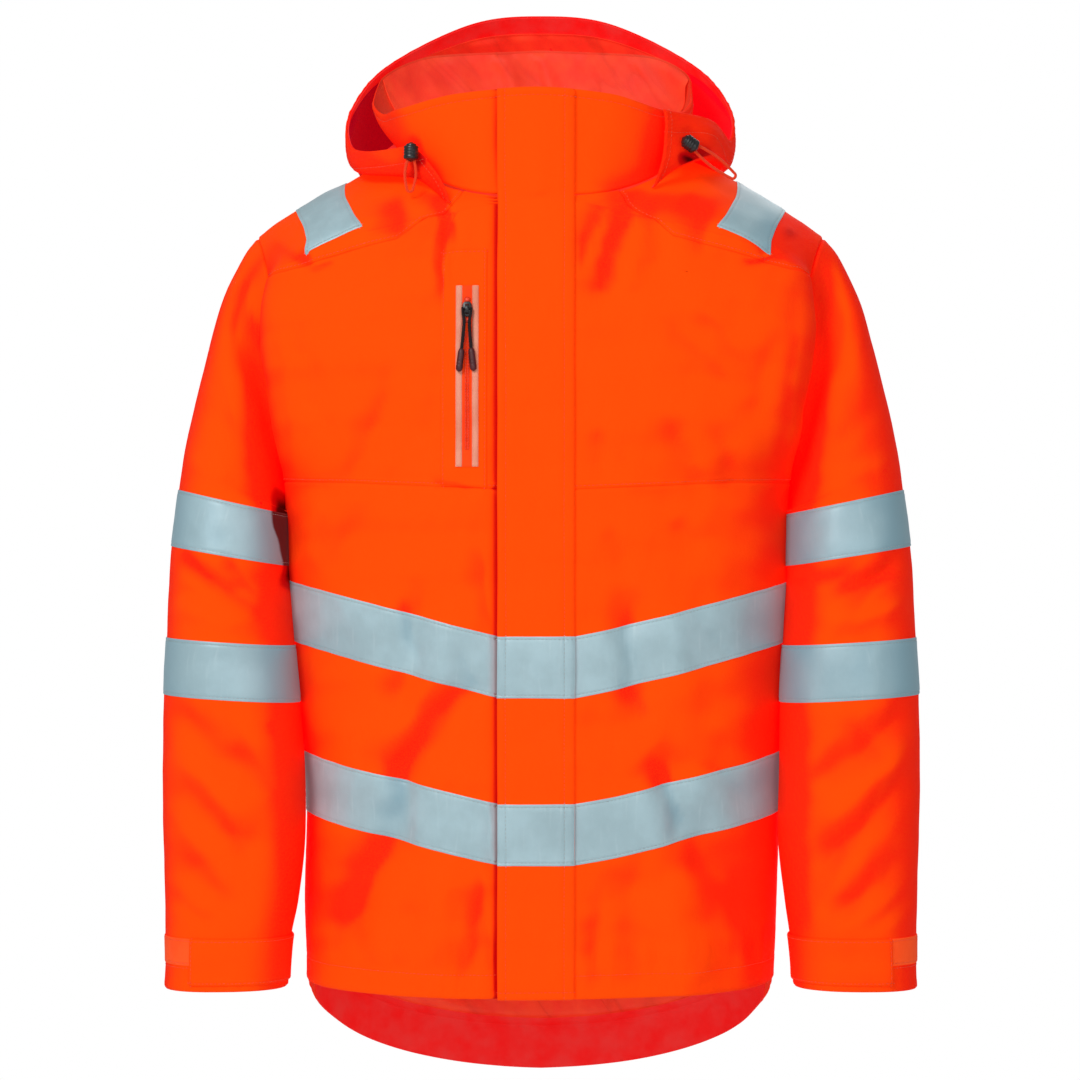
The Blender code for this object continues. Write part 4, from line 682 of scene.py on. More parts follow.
def relief_of(reach, kinds, seed):
    """Heights over a grid from the finish of its four edges; absent ones are plain."""
    height = np.zeros_like(reach["bottom"])
    for number, (where, kind) in enumerate(sorted(kinds.items())):
        if kind != "plain":
            height = height + edge_relief(kind, reach[where], reach[SIDE_OF[where]], seed + number)
    return height


# ---------------- sewing lines
SEWN = {"front": [], "back": [], "sleeves": [], "neck": []}
TAPE_SEWN = {"front": [], "back": [], "sleeves": []}
STITCH_PROUD = 0.00012


def line_at(values, reach, distance, axis):
    """Where a grid's values pass a distance from an edge, along its rows or columns."""
    if axis == 1:
        values, reach = np.swapaxes(values, 0, 1), reach.T
    found = []
    for j in range(reach.shape[1]):
        order = np.argsort(reach[:, j])
        found.append([np.interp(distance, reach[order, j], values[order, j, k]) for k in range(3)])
    return np.array(found)


def sew(lines, points, normals, reach, kinds, ring):
    """Adds the stitch lines that a grid's edges ask for."""
    for where, kind in kinds.items():
        axis = 1 if where in ("start", "end") else 0
        for q in edge(kind)["stitches"]:
            line, facing = (line_at(values, reach[where], q, axis) for values in (points, normals))
            if ring:
                line, facing = np.concatenate([line, line[:1]]), np.concatenate([facing, facing[:1]])
            lines.append((line + facing * STITCH_PROUD, facing))


# ---------------- cloth meshes
# direction of the light that own_shade paints into the cloth's colour
PAINTED_LIGHT_FROM = np.array([-0.45, -0.40, 0.80])
BAND = 0.0006                   # how far the reflective bands stand off the cloth, without the gap
THIN = 0.0008                   # linings, facings and the pocket patch
MADE = {}                       # each piece of cloth with its outer grid


def shown(name, data):
    """A new object in the scene."""
    made = bpy.data.objects.new(name, data)
    bpy.context.scene.collection.objects.link(made)
    return made


def declare(made, slot, node=None, body="jacket"):
    """Hides the solid that a piece stands for and hangs the piece on its body; slot is not used."""
    if node:
        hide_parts(node)
    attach(made, body)


def closed_mesh(name, vertices, faces, kinds=None):
    """A mesh object with its faces turned outwards."""
    mesh = bpy.data.meshes.new(name)
    mesh.from_pydata(np.asarray(vertices, float).tolist(), [], [list(map(int, f)) for f in faces])
    if kinds is not None:
        mesh.polygons.foreach_set("material_index", np.asarray(kinds, np.int32))
    bm = bmesh.new()
    bm.from_mesh(mesh)
    bmesh.ops.recalc_face_normals(bm, faces=bm.faces)
    bm.to_mesh(mesh)
    bm.free()
    mesh.shade_smooth()
    return shown(name, mesh)


def wall_faces(rows, columns, ring):
    """Faces of a closed wall between two grids and which of them are its inner face."""
    count = rows * columns
    index = np.arange(count).reshape(rows, columns)
    if ring:
        index = np.concatenate([index, index[:, :1]], axis=1)
    a, b = index[:-1, :-1].ravel(), index[:-1, 1:].ravel()
    c, d = index[1:, 1:].ravel(), index[1:, :-1].ravel()
    faces = [np.stack([a, b, c, d], 1), np.stack([d, c, b, a], 1) + count]
    kinds = [np.zeros(len(a), int), np.ones(len(a), int)]
    rims = [index[0], index[-1][::-1]]
    if not ring:
        rims += [index[::-1, 0], index[:, -1]]
    for rim in rims:
        faces.append(np.stack([rim[1:], rim[:-1], rim[:-1] + count, rim[1:] + count], 1))
        kinds.append(np.zeros(len(rim) - 1, int))
    return np.concatenate(faces), np.concatenate(kinds)


def put_coordinates(mesh, values):
    """The piece's cloth coordinates, in metres, as its UV map."""
    corners = np.empty(len(mesh.loops), np.int32)
    mesh.loops.foreach_get("vertex_index", corners)
    layer = mesh.uv_layers.new(name="cloth")
    layer.data.foreach_set("uv", values[corners].astype(np.float32).ravel())


def put_attribute(mesh, name, values):
    """A value a point for an attribute, the same on both faces of a wall."""
    mesh.attributes[name].data.foreach_set("value", np.tile(values.ravel(), 2).astype(np.float32))


def smooth_step(value, low, high):
    part = np.clip((value - low) / (high - low), 0, 1)
    return part * part * (3 - 2 * part)


def make_cloth(name, point, kinds, faces, thickness=CLOTH, lift=0.0, ring=False, group=None, seed=1,
        slot="shell", relief=None, store=SEWN):
    """One piece of cloth on a form. point(lift) gives its grid, moved out by lift; faces names its finishes."""
    base = point(0.0)
    reach = spans(base)
    height = relief_of(reach, kinds, seed)
    if relief is not None:
        height = height + relief(base, reach)
    turn = rounded(reach, kinds) * thickness
    outer, inner = point(lift + height - turn), point(lift + height - thickness + turn)
    normals = unit(point(1e-3) - base)
    indices, sides = wall_faces(*outer.shape[:2], ring)
    made = closed_mesh(name, np.concatenate([outer.reshape(-1, 3), inner.reshape(-1, 3)]), indices, sides)
    mesh = made.data
    for face in (faces.split() * 2)[:2]:
        mesh.materials.append(finish(face))
    mesh.set_sharp_from_angle(angle=math.radians(60))
    across, along = reach["start"].reshape(-1), reach["bottom"].reshape(-1)
    put_coordinates(mesh, np.tile(np.stack([across, along], -1), (2, 1)))
    # painted light and painted dark shade, kept as attributes for the finishes
    for label, values in zip(("bloom", "crease"), own_shade(name, base, normals, height)):
        mesh.attributes.new(label, "FLOAT", "POINT")
        put_attribute(mesh, label, values)
    if group:
        sew(store[group], outer, normals, reach, kinds, ring)
    declare(made, slot, name)
    MADE[name] = made, outer


def make_band(name, point, kinds, group, seed, lift=LAP, **more):
    """A reflective band that lies lift above its cloth."""
    make_cloth(name, point, kinds, "tape", thickness=BAND, lift=lift + BAND, group=group, seed=seed,
        slot="reflective_tape", store=TAPE_SEWN, **more)


def make_inside(name, point, kinds, faces, seed, lift=-CLOTH - LAP, slot="lining", relief=None):
    """A thin lining or facing, inside the shell unless lift says otherwise."""
    make_cloth(name, point, kinds, faces, thickness=THIN, lift=lift, seed=seed, slot=slot, relief=relief)


def own_shade(name, points, normals, relief):
    """Painted light and shade for a piece's colour: how open it lies to a light from the upper left, 0 to 1, and
    painted dark shade in creases and seam dips.
    """
    front = np.clip(-normals[..., 1] * 3, 0, 1)
    right = points[..., :1] < 0
    if "sleeve" in name or "cuff" in name:
        arm = points * np.where(right, [-1.0, 1.0, 1.0], 1.0)
        folds = fold_height(arm, SLEEVE_FRONT_FOLDS) * front + fold_height(arm, SLEEVE_BACK_FOLDS) * (1 - front)
        # painted shade: extra on the sleeve bands and on the wearer's left sleeve, away from the light
        shade = fold_height(points, SHADES[name.rsplit("_", 1)[1]]) + 0.55 * ("tape" in name) \
            + 0.30 * (points[..., 0] > 0)
    elif name in ("collar", "hood"):
        folds, shade = 0.0, fold_height(points, SHADES["neck"]) + 0.50 * (name == "hood")
    else:
        folds = fold_height(points, FRONT_FOLDS) * front + fold_height(points, BACK_FOLDS) * (1 - front)
        # painted shade from the strokes, less on the front bands
        shade = fold_height(points, SHADES["body"]) - 0.4 * name.startswith("tape_front")
    if name[:6] in ("sleeve", "tape_s"):
        front = np.clip(1 - 4 * normals[..., 1], 0, 1)
    shade = shade * front
    facing = unit(np.cross(np.gradient(points, axis=1), np.gradient(points, axis=0)))
    facing = facing * np.sign((facing * normals).sum(-1, keepdims=True))
    # painted shade on fold sides that turn from the painted light
    tilt = np.clip(((facing - normals) * PAINTED_LIGHT_FROM).sum(-1), -0.2, 0.1)
    # painted shade where the cloth faces sideways, down or to the wearer's left
    lies_open = np.hypot(normals[..., 1], 0.9 * np.maximum(normals[..., 2], 0)) - 0.45 * np.maximum(normals[..., 0], 0)
    # painted shade in fold troughs and seam dips
    hollow = np.clip(folds + 0.8 * relief, -0.006, 0.002)
    bloom = smooth_step(lies_open, 0.20, 0.95) + 2.4 * tilt + 80 * hollow - 0.75 * shade
    # painted dark shade in seam dips, and where the shade strokes run deepest
    crease = 0.0 if name == "hood" else smooth_step(-relief, 0.0006, 0.0034)
    return bloom, crease + np.clip(shade - 1.65, 0, 2.0)


def declare_cut(name, ring=False):
    """Measures a piece's cloth along its threads; the sizes are not kept."""
    made, outer = MADE[name]
    if ring:
        outer = np.concatenate([outer, outer[:, :1]], axis=1)
    across = steps(outer, 1).sum(1)
    along = steps(outer).sum(0)
    first, second = outer[1:, :-1] - outer[:-1, 1:], outer[1:, 1:] - outer[:-1, :-1]
    area = float(np.linalg.norm(np.cross(first, second), axis=-1).sum() / 2)
    width, length = float(across.max()), float(along.max())
    area = min(max(area, 0.31 * width * length), width * length)


# ---------------- fronts and back
COLUMNS = {
    "right": np.array([0.0, 0.07, 0.0, 0.0, 0.0, 0.0, 0.0, 0.0, 0.27, 0.34, 0.42, 0.51, 0.62, 0.74, 0.87, 1.0]),
    "left": np.array([0.0, 0.057, 0.16, 0.25, 0.34, 0.42, 0.51, 0.62, 0.74, 0.87, 1.0]),
}
POCKET_COLUMNS = (2, 7)         # first and last column of the pocket patch
UPRIGHT_X = {"right": (-FLAP_FREE_X + SEAM, *POCKET_EDGES_X), "left": (FLAP_SEAM_X + SEAM,)}
UPRIGHT_END = 8.15              # row position above which upright columns lean back
SHOULDER_TAPE = (0.34, 0.51)
SHOULDER_TAPE_RIDGE = (0.405, 0.72)
TAIL_FACING = 0.044
ZIP_TAPE = 0.0005
TAPED = ("taped", "taped")


def zip_edge(side, t):
    """The column where a front ends at the zip; it runs out above the neck."""
    x = -ZIP_RIGHT_X if side < 0 else ZIP_LEFT_X
    column = column_at_x(side, x, np.clip(t, 0, ROW["neck_front"]))
    return column * np.clip((ROW["neck_front"] - t) * 50 + 1, 0, 1)


def front_columns(name):
    """Column positions of a front; the right one has the pocket's edges among them."""
    side = SIDES[name]
    columns = COLUMNS[name].copy()
    chest = np.array(float(ROW["front_chest"]))
    start = zip_edge(side, chest)
    for j, x in enumerate(UPRIGHT_X[name], 1):
        columns[j] = (column_at_x(side, x, chest) - start) / (1 - start)
    return columns


def front_grid(side, columns, t):
    """Columns for rows of t: cut at the zip, upright along the flap and the pocket."""
    start = zip_edge(side, t[:, :1])
    s = start + (1 - start) * columns[None, :]
    upright = np.clip((UPRIGHT_END - t) / 0.45, 0, 1)
    for j, x in enumerate(UPRIGHT_X["right" if side < 0 else "left"], 1):
        s[:, j] += (column_at_x(side, x, t[:, j]) - s[:, j]) * upright[:, j]
    return s


def front_lines(side, columns):
    """Seam, tape and pocket lines of a front as row positions, from hem to yoke."""
    def at(height):
        t = row_at_height(side, columns, height)
        for _ in range(3):
            t = row_at_height(side, front_grid(side, columns, t[None])[0], height)
        return t

    lower_top = level_then_rise(TAPE_TOPS["lower"], LOWER_RISE)
    upper_top = level_then_rise(TAPE_TOPS["upper"], TAPE_RISE)
    pocket_side = POCKET_EDGES_X[-1]
    yoke = row_at_height(side, columns, yoke_seam)
    return {
        "hem": np.zeros_like(columns),
        "lower_tape_end": at(lambda x: lower_top(x) - TAPE_HEIGHT),
        "lower_tape_top": at(lower_top),
        "upper_tape_end": at(lambda x: upper_top(x) - TAPE_HEIGHT),
        "upper_tape_top": at(upper_top),
        "chest": at(lambda x: CHEST_SEAM_Z + 0.04 * x),
        "zip_end": at(lambda x: POCKET_ZIP_END_Z + 0 * x),
        "zip_top": at(lambda x: POCKET_ZIP_TOP_Z - 0.45 * np.maximum(0, x - pocket_side)),
        "pocket_top": at(lambda x: POCKET_TOP_Z - 0.50 * np.maximum(0, x - pocket_side)),
        "neck": np.minimum(ROW["neck_front"], yoke - 0.35),
        "yoke": yoke,
    }


LOWER_ORDER = ("hem", "lower_tape_end", "lower_tape_top", "upper_tape_end", "upper_tape_top", "chest")
LOWER_KINDS = (("hem", "plain"), TAPED, ("plain", "plain"), TAPED, ("plain", "seam"))
UPPER_ORDER = ("chest", "zip_end", "zip_top", "pocket_top", "neck", "yoke")
UPPER_KINDS = (("topstitched", "taped"), TAPED, TAPED, ("taped", "plain"), ("plain", "seam"))


class Front:
    """Coarse and fine grid of one front, shared by its panels, bands and pocket."""

    def __init__(self, name):
        self.name, self.side = name, SIDES[name]
        self.columns = front_columns(name)
        self.lines = front_lines(self.side, self.columns)
        middle = self.lines["chest"][None]
        chest = torso(self.side, front_grid(self.side, self.columns, middle), middle)[0]
        pocket = range(1, POCKET_COLUMNS[1] + 1) if name == "right" else (1,)
        self.places = places_along(chest, "plain", "seam", pocket)

    def coarse_point(self, t):
        return torso(self.side, front_grid(self.side, self.columns, t), t)

    def rows(self, order, kinds):
        return rows_through(self.coarse_point, self.lines, order, kinds)

    def point(self, t, first=0, last=None):
        """A function of lift for rows t, between two coarse columns."""
        places = self.places[(self.places >= first) & (self.places <= (last or len(self.columns)))]
        s = finer(front_grid(self.side, self.columns, t), places)
        t = finer(t, places)
        return lambda lift: torso(self.side, s, t, lift)


FRONTS = {}


def fronts():
    """Both fronts, laid out once."""
    if not FRONTS:
        FRONTS.update({name: Front(name) for name in SIDES})
    return FRONTS


def make_fronts():
    for number, (name, front) in enumerate(fronts().items()):
        for level, order, kinds, foot, seed, relief in (
                ("lower", LOWER_ORDER, LOWER_KINDS, "hem", 3, lower_relief),
                ("upper", UPPER_ORDER, UPPER_KINDS, "topstitched", 7, beside_flap)):
            make_cloth(f"front_{level}_{name}", front.point(front.rows(order, kinds)),
                {"bottom": foot, "top": "seam", "end": "seam"}, "shell lining", group="front",
                seed=seed + number, relief=relief)
        for level in ("lower", "upper"):
            band = front.rows((f"{level}_tape_end", f"{level}_tape_top"), (TAPED,))
            make_band(f"tape_front_{level}_{name}", front.point(band, first=1),
                {"bottom": "taped", "top": "taped", "end": "seam"}, "front", 11 + number,
                relief=beside_flap)


def beside_flap(points, reach):
    """The hollow that the flap's free edge presses beside it, and a shallower one at its seam."""
    x = points[..., 0]
    free, seam = -x + FLAP_FREE_X, x - FLAP_SEAM_X
    return -0.0028 * hump(free, 0.0006, 0.0052) - 0.0003 * hump(seam, 0.0012, 0.0020)


def lower_relief(points, reach):
    return beside_flap(points, reach) + hem_gathers(points, reach)


def hem_gathers(points, reach):
    """Small upright gathers just above the front hem."""
    x, low = points[..., 0], reach["bottom"]
    waves = np.sin(x * 380) * 0.5 + np.sin(x * 229 + 1.0) * 0.6 + np.sin(x * 640 + 2.0) * 0.25
    near = np.exp(-((low - 0.034) / 0.016) ** 2)
    return 0.0014 * waves * near * (0.45 + 0.55 * smooth_step(x, -0.02, 0.08))


def make_pocket():
    """Chest pocket: patch, zip tape and two piped welts."""
    front, first = fronts()["right"], POCKET_COLUMNS[0]
    patch = front.rows(("chest", "zip_end", "zip_top", "pocket_top"), (("topstitched", "taped"), TAPED, TAPED))
    make_cloth("pocket_patch", front.point(patch, *POCKET_COLUMNS),
        {"bottom": "seam", "top": "patch", "start": "patch", "end": "patch"}, "shell", thickness=THIN,
        lift=LAP + THIN, group="front", seed=17, relief=beside_flap)
    rows, lift = front.rows(("zip_end", "zip_top"), (TAPED,)), 2 * LAP + THIN
    make_cloth("pocket_zip", front.point(rows, first + 2, first + 3), {}, "zip_tape", thickness=ZIP_TAPE,
        lift=lift + ZIP_TAPE, seed=18, slot="facing")
    for node, start in (("pocket_piping_outer", first + 3), ("pocket_piping_inner", first + 1)):
        make_cloth(node, front.point(rows, start, start + 1), {}, "piping", thickness=0.0004,
            lift=lift + 0.0015, seed=19, slot="reflective_tape", relief=welt)


def welt(points, reach):
    """A piped welt is round across, and drops at its ends."""
    part = 2 * reach["start"] / (reach["start"] + reach["end"]) - 1
    ends = np.minimum(reach["bottom"], reach["top"]) / 0.0012
    return 0.0011 * (np.sqrt(np.clip(1 - part ** 2, 0, 1)) - 1) - 0.0004 * np.clip(1 - ends, 0, 1)


YOKE_ORDER = ("yoke", "tape_start", "ridge", "neck_back", "back_yoke")
YOKE_KINDS = (("topstitched", "taped"), ("taped", "plain"), ("plain", "taped"), ("taped", "seam"))


def yoke_lines(front):
    yoke = front.lines["yoke"]
    ridge = np.full_like(yoke, ROW["ridge"])
    return {
        "yoke": yoke, "tape_start": yoke + (ridge - yoke) * np.interp(front.columns, SHOULDER_TAPE, (0.17, 0.04)),
        "ridge": ridge,
        "neck_back": np.full_like(yoke, ROW["neck_back"]), "back_yoke": np.full_like(yoke, ROW["back_upper"]),
    }


def yoke_columns(columns, rows):
    """Columns that swing out over the ridge, so that the tape keeps its width."""
    swung = np.interp(columns, (0, *SHOULDER_TAPE, 1), (0, *SHOULDER_TAPE_RIDGE, 1))
    first, last = rows[:1], ROW["back_upper"]
    near = smooth_step(1 - np.abs(rows - ROW["ridge"]) / (last - ROW["ridge"]), 0, 1)
    low, high = torso_base(1.0, columns, first)[..., 2], torso_base(1.0, swung, ROW["ridge"])[..., 2]
    s = columns + (swung - columns) * near
    for _ in range(3):
        risen = np.clip((torso_base(1.0, s, rows)[..., 2] - low) / (high - low), 0, 1)
        s = columns + (swung - columns) * np.where(rows < ROW["ridge"], risen, near)
    return s


def make_yokes():
    """Over each shoulder, from the front yoke seam to the back one, with its band."""
    for number, (name, front) in enumerate(fronts().items()):
        lines = yoke_lines(front)
        first, last = (int(np.argmin(np.abs(front.columns - place))) for place in SHOULDER_TAPE)
        seam = lines["yoke"][None]
        at_seam = torso(front.side, yoke_columns(front.columns, seam), seam)[0]
        places = places_along(at_seam, "seam", "seam", (first, last))

        def coarse(t):
            return torso(front.side, yoke_columns_of(front, lines, t), t)

        def point(t, low=0, high=99):
            kept = places[(places >= low) & (places <= high)]
            s, fine = finer(yoke_columns_of(front, lines, t), kept), finer(t, kept)
            return lambda lift: torso(front.side, s, fine, lift)

        make_cloth(f"yoke_{name}", point(rows_through(coarse, lines, YOKE_ORDER, YOKE_KINDS)),
            {"bottom": "topstitched", "top": "seam", "start": "seam", "end": "seam"}, "shell lining",
            group="neck", seed=23 + number)
        band = rows_through(coarse, lines, YOKE_ORDER[1:4], YOKE_KINDS[1:3])
        make_band(f"tape_shoulder_{name}", point(band, first, last),
            {"start": "taped", "end": "taped", "bottom": "taped", "top": "taped"}, "front", 25 + number)


def yoke_columns_of(front, lines, t):
    """yoke_columns for rows that may start above the yoke seam."""
    whole = np.concatenate([lines["yoke"][None], t])
    return yoke_columns(front.columns, whole)[1:]


BACK_ORDER = ("back_yoke", "upper_tape_top", "upper_tape_end", "lower_tape_top", "lower_tape_end",
    "facing_top", "tail")
BACK_KINDS = (("topstitched", "plain"), TAPED, ("plain", "plain"), TAPED, ("plain", "plain"), ("plain", "hem"))


def back_lines(side, columns):
    def at(height):
        return row_at_height(side, columns, height, front=False)

    wide = torso_base(side, 1.0, float(ROW["back_waist"]))[0]
    upper = TAPE_TOPS["upper"] + TAPE_RISE * (wide - TAPE_LEVEL_X)
    lower = TAPE_TOPS["lower"] + LOWER_RISE * (wide - TAPE_LEVEL_X)
    end = len(TORSO_ROWS) - 1.0
    tail = torso_base(side, columns, end)[:, 2]
    return {
        "back_yoke": np.full_like(columns, ROW["back_upper"]),
        "upper_tape_top": at(back_tape(upper)),
        "upper_tape_end": at(back_tape(upper - TAPE_HEIGHT)),
        "lower_tape_top": at(back_tape(lower)),
        "lower_tape_end": at(back_tape(lower - TAPE_HEIGHT)),
        "facing_top": row_at_height(side, columns, lambda x: tail + TAIL_FACING, front=False),
        "tail": np.full_like(columns, end),
    }


def make_back():
    columns = COLUMNS["left"]
    lines = {name: back_lines(side, columns) for name, side in SIDES.items()}
    middle = np.full((1, len(columns)), float(ROW["back_waist"]))
    places = places_along(torso(1.0, columns[None], middle)[0], "plain", "seam")
    fine_columns = finer(columns, places)

    def rows(order, kinds):
        share = rows_through(lambda t: torso(1.0, columns[None], t), lines["left"], order, kinds)
        both = {"left": share}
        low, high = lines["left"], lines["right"]
        both["right"] = np.empty_like(share)
        for j in range(len(columns)):
            known = [low[name][j] for name in order]
            both["right"][:, j] = np.interp(share[:, j], known, [high[name][j] for name in order])
        return {name: finer(t, places) for name, t in both.items()}

    def point(t, trim=0):
        half = len(fine_columns)

        def at(lift):
            lift = np.broadcast_to(lift, (len(t["left"]), 2 * half - 1 - 2 * trim))
            full = np.pad(lift, ((0, 0), (trim, trim)), mode="edge")
            right = torso(-1.0, fine_columns[None], t["right"], full[:, half - 1::-1])
            left = torso(1.0, fine_columns[None], t["left"], full[:, half - 1:])
            grid = np.concatenate([right[:, :0:-1], left], axis=1)
            return grid[:, trim:grid.shape[1] - trim]
        return at

    make_cloth("back", point(rows(BACK_ORDER, BACK_KINDS)),
        {"bottom": "topstitched", "top": "hem", "start": "seam", "end": "seam"}, "shell lining",
        group="back", seed=31)
    for number, level in ((1, "upper"), (3, "lower")):
        band = rows(BACK_ORDER[number:number + 2], BACK_KINDS[number:number + 1])
        make_band(f"tape_back_{level}", point(band),
            {"bottom": "taped", "top": "taped", "start": "seam", "end": "seam"}, "back", 32 + number)
    edge_columns = int((places > 9).sum())
    make_inside("tail_facing", point(rows(BACK_ORDER[5:], (("folded", "plain"),)), edge_columns),
        {"bottom": "folded"}, "facing", 37, slot="facing")
    make_inside("back_lining", point(rows(BACK_ORDER[4:6], (("plain", "seam"),)), edge_columns),
        {"top": "seam"}, "lining", 38, relief=lining_wrinkles)


def lining_wrinkles(points, reach):
    """Loose lining gathered in slanting wrinkles."""
    x, z = points[..., 0], points[..., 2]
    across = x * 0.8 + z * 0.6 + 0.004 * np.sin(z * 90) + 0.006 * np.sin(x * 31)
    waves = np.abs(np.sin(across * 63 + 1.6 * np.sin(x * 23))) ** 3 * (0.5 + 0.5 * np.sin(x * 37 + z * 20))
    fine = 0.3 * np.abs(np.sin(across * 181 + 1.0)) ** 3
    return -0.0038 * (waves + fine) * smooth_step(np.minimum(reach["top"], reach["bottom"]), 0.0, 0.006)


# ---------------- sleeves
TAB_EDGE, TAB_TO, GRIP_FROM = 60.4, 236.0, 303.0     # degrees round the cuff
TAB, GRIP = 0.0020, 0.0006      # how thick the cuff tab and the grip strip are
RING_ORDER = ("armhole", "upper_tape_top", "upper_tape_end", "lower_tape_top", "lower_tape_end", "tab_top", "cuff")
RING_KINDS = (("seam", "plain"), TAPED, ("plain", "plain"), TAPED, ("plain", "taped"), ("taped", "hem"))


def ring_rows(side, order, kinds, degrees):
    """Fine ring positions between named rings; kinds as for rows."""
    angles = np.radians(degrees)
    parts = []
    for (a, b), (low, high) in zip(zip(order, order[1:]), kinds):
        a, b = (RING.get(name, 0.02) for name in (a, b))
        path = sleeve(side, angles, np.linspace(a, b, 13))
        length = float(steps(path).sum(0).mean())
        parts.append(a + (b - a) * stops(length, low, high)[:-1])
    return np.append(np.concatenate(parts), RING.get(order[-1], 0.02))


def make_sleeves():
    """Both sleeves with their bands, cuff tabs and grip strips."""
    for number, (name, side) in enumerate(SIDES.items()):
        def point(degrees, rings):
            return lambda lift: sleeve(side, np.radians(degrees), rings, lift)

        around = 200 + np.arange(0, 360, 4.0)
        make_cloth(f"sleeve_{name}", point(around, ring_rows(side, RING_ORDER, RING_KINDS, around)),
            {"bottom": "seam", "top": "hem"}, "shell lining", ring=True, group="sleeves", seed=41 + number)
        for level in ("upper", "lower"):
            band = ring_rows(side, (f"{level}_tape_top", f"{level}_tape_end"), (TAPED,), around)
            make_band(f"tape_sleeve_{level}_{name}", point(around, band), {"bottom": "taped", "top": "taped"},
                "sleeves", 43 + number, ring=True)
        low = RING["tab_top"]
        tab = TAB_EDGE + (TAB_TO - TAB_EDGE) * stops(0.165, "patch", "patch")
        rings = low + (RING["tab_end"] - low) * stops(0.039, "patch", "patch")
        make_cloth(f"cuff_tab_{name}", point(tab, rings),
            {"bottom": "patch", "top": "patch", "start": "patch", "end": "patch"}, "shell",
            thickness=TAB, lift=LAP + TAB, group="sleeves", seed=45 + number, relief=tab_corners)
        grip = GRIP_FROM - 360 + (TAB_EDGE - 0.6 - GRIP_FROM + 360) * stops(0.11, "plain", "plain")
        rings = low + (RING["grip_end"] - low) * stops(0.023, "patch", "patch")
        make_cloth(f"cuff_grip_{name}", point(grip, rings), {"bottom": "patch", "top": "patch"}, "grip",
            thickness=GRIP, lift=LAP + GRIP, group="sleeves", seed=47 + number, slot="grip")


def tab_corners(points, reach):
    """The tab's free end lies a little off the sleeve."""
    return 0.0007 * np.exp(-reach["start"] / 0.012)


# ---------------- neck
LINED_ANGLES = (115.0, 245.0)   # where the collar has its own lining, round the back


def make_collar():
    v = 0.005 + 0.995 * stops(0.082, "seam", "folded")[:, None]
    start, end = collar_angle_at(ZIP_LEFT_X, v), collar_angle_at(ZIP_RIGHT_X, v) + 360
    angles = start + (end - start) * stops(0.66, "plain", "plain")[None, :]
    make_cloth("collar", lambda lift: collar(angles, v, lift), {"bottom": "seam", "top": "folded"},
        "shell collar_lining", group="neck", seed=51, relief=collar_waves)
    inner = np.linspace(*LINED_ANGLES, 90)[None, :]
    rows = 0.42 + 0.555 * stops(0.055, "plain", "plain")[:, None]
    make_inside("collar_lining", lambda lift: collar(inner + 0 * rows, rows, lift), {}, "lining", 52,
        lift=-CLOTH - 2 * LAP, relief=lining_wrinkles)


def collar_waves(points, reach):
    x, z = points[..., 0], points[..., 2]
    front = smooth_step(-points[..., 1], 0.02, 0.08)
    waves = 0.0006 * np.sin(x * 61 + z * 23 + 0.8) * np.sin(z * 45 + x * 17)
    return (waves + beside_flap(points, reach) * 0.8) * front


def make_hood():
    u = np.concatenate([np.linspace(-6, 0, 87)[:-1], np.linspace(0, 6, 87)])
    ends = np.array([0.006, 0.013, 0.022, 0.033, 0.046])
    u = np.concatenate([[-6], -6 + ends, u[(u > -5.94) & (u < 5.94)], 6 - ends[::-1], [6]])
    v = 5 * stops(0.30, "seam", "hem")
    make_cloth("hood", lambda lift: hood(u, v, lift),
        {"bottom": "seam", "top": "hem", "start": "folded", "end": "folded"}, "shell facing",
        group="neck", seed=61, relief=hood_waves)
    inner = u[(u >= -4.5) & (u <= 4.5)]
    brim = 4.85 + 0.14 * stops(0.018, "folded", "plain")
    make_inside("hood_facing", lambda lift: hood(inner, brim, lift), {}, "facing", 62, slot="facing")
    rows = 2.35 + 2.5 * stops(0.14, "plain", "seam")
    make_inside("hood_lining", lambda lift: hood(inner, rows, lift), {"top": "seam"}, "hood_lining", 63,
        relief=lining_wrinkles)
    # painted shade on the hood lining's sides, and a dark painted shadow in the hollow of its wearer's right side
    lining, outer = MADE["hood_lining"]
    across = outer[..., 0]
    put_attribute(lining.data, "bloom", 1 - smooth_step(np.abs(across), 0.112, 0.134))
    put_attribute(lining.data, "crease", smooth_step(-across, 0.112, 0.134))


def hood_waves(points, reach):
    """Soft unevenness of the slack hood, away from its neck seam."""
    x, y, z = np.moveaxis(points, -1, 0)
    waves = np.sin(x * 47 + z * 29 + 0.5) * np.sin(z * 53 - x * 21) + 0.5 * np.sin(x * 90 - z * 61 + y * 40)
    return 0.0010 * waves * smooth_step(reach["bottom"], 0.01, 0.05) * smooth_step(reach["top"], 0.0, 0.02)


# ---------------- front closure
COLLAR_LIFT = 0.0009
CLOSURE_ORDER = LOWER_ORDER + UPPER_ORDER[1:-1]
CLOSURE_KINDS = (("folded", "plain"), TAPED, ("plain", "plain"), TAPED) + \
    (("plain", "plain"),) * 5


def closure_grid(xs, order=CLOSURE_ORDER, kinds=CLOSURE_KINDS, collar_rows=()):
    """A function of lift for a strip up the centre front between x values."""
    lines = {name: t[:1] for name, t in fronts()["left"].lines.items()}
    t = rows_through(lambda t: torso(1.0, column_at_x(1.0, 0.002, t), t), lines, order, kinds)[:, 0]
    v = np.asarray(collar_rows)
    columns = []
    for x in xs:
        side = 1.0 if x >= 0 else -1.0
        body = torso(side, column_at_x(side, abs(x), t), t)
        columns.append(np.concatenate([body, collar(collar_angle_at(x, v), v)]) if len(v) else body)
    grid = np.stack(columns, axis=1)
    normal = unit(np.cross(np.gradient(grid, axis=1), np.gradient(grid, axis=0)))
    on_collar = np.concatenate([np.zeros(len(t)), np.full(len(v), COLLAR_LIFT)])[:, None]
    return lambda lift: grid + normal * (np.broadcast_to(lift, grid.shape[:2]) + on_collar)[..., None]


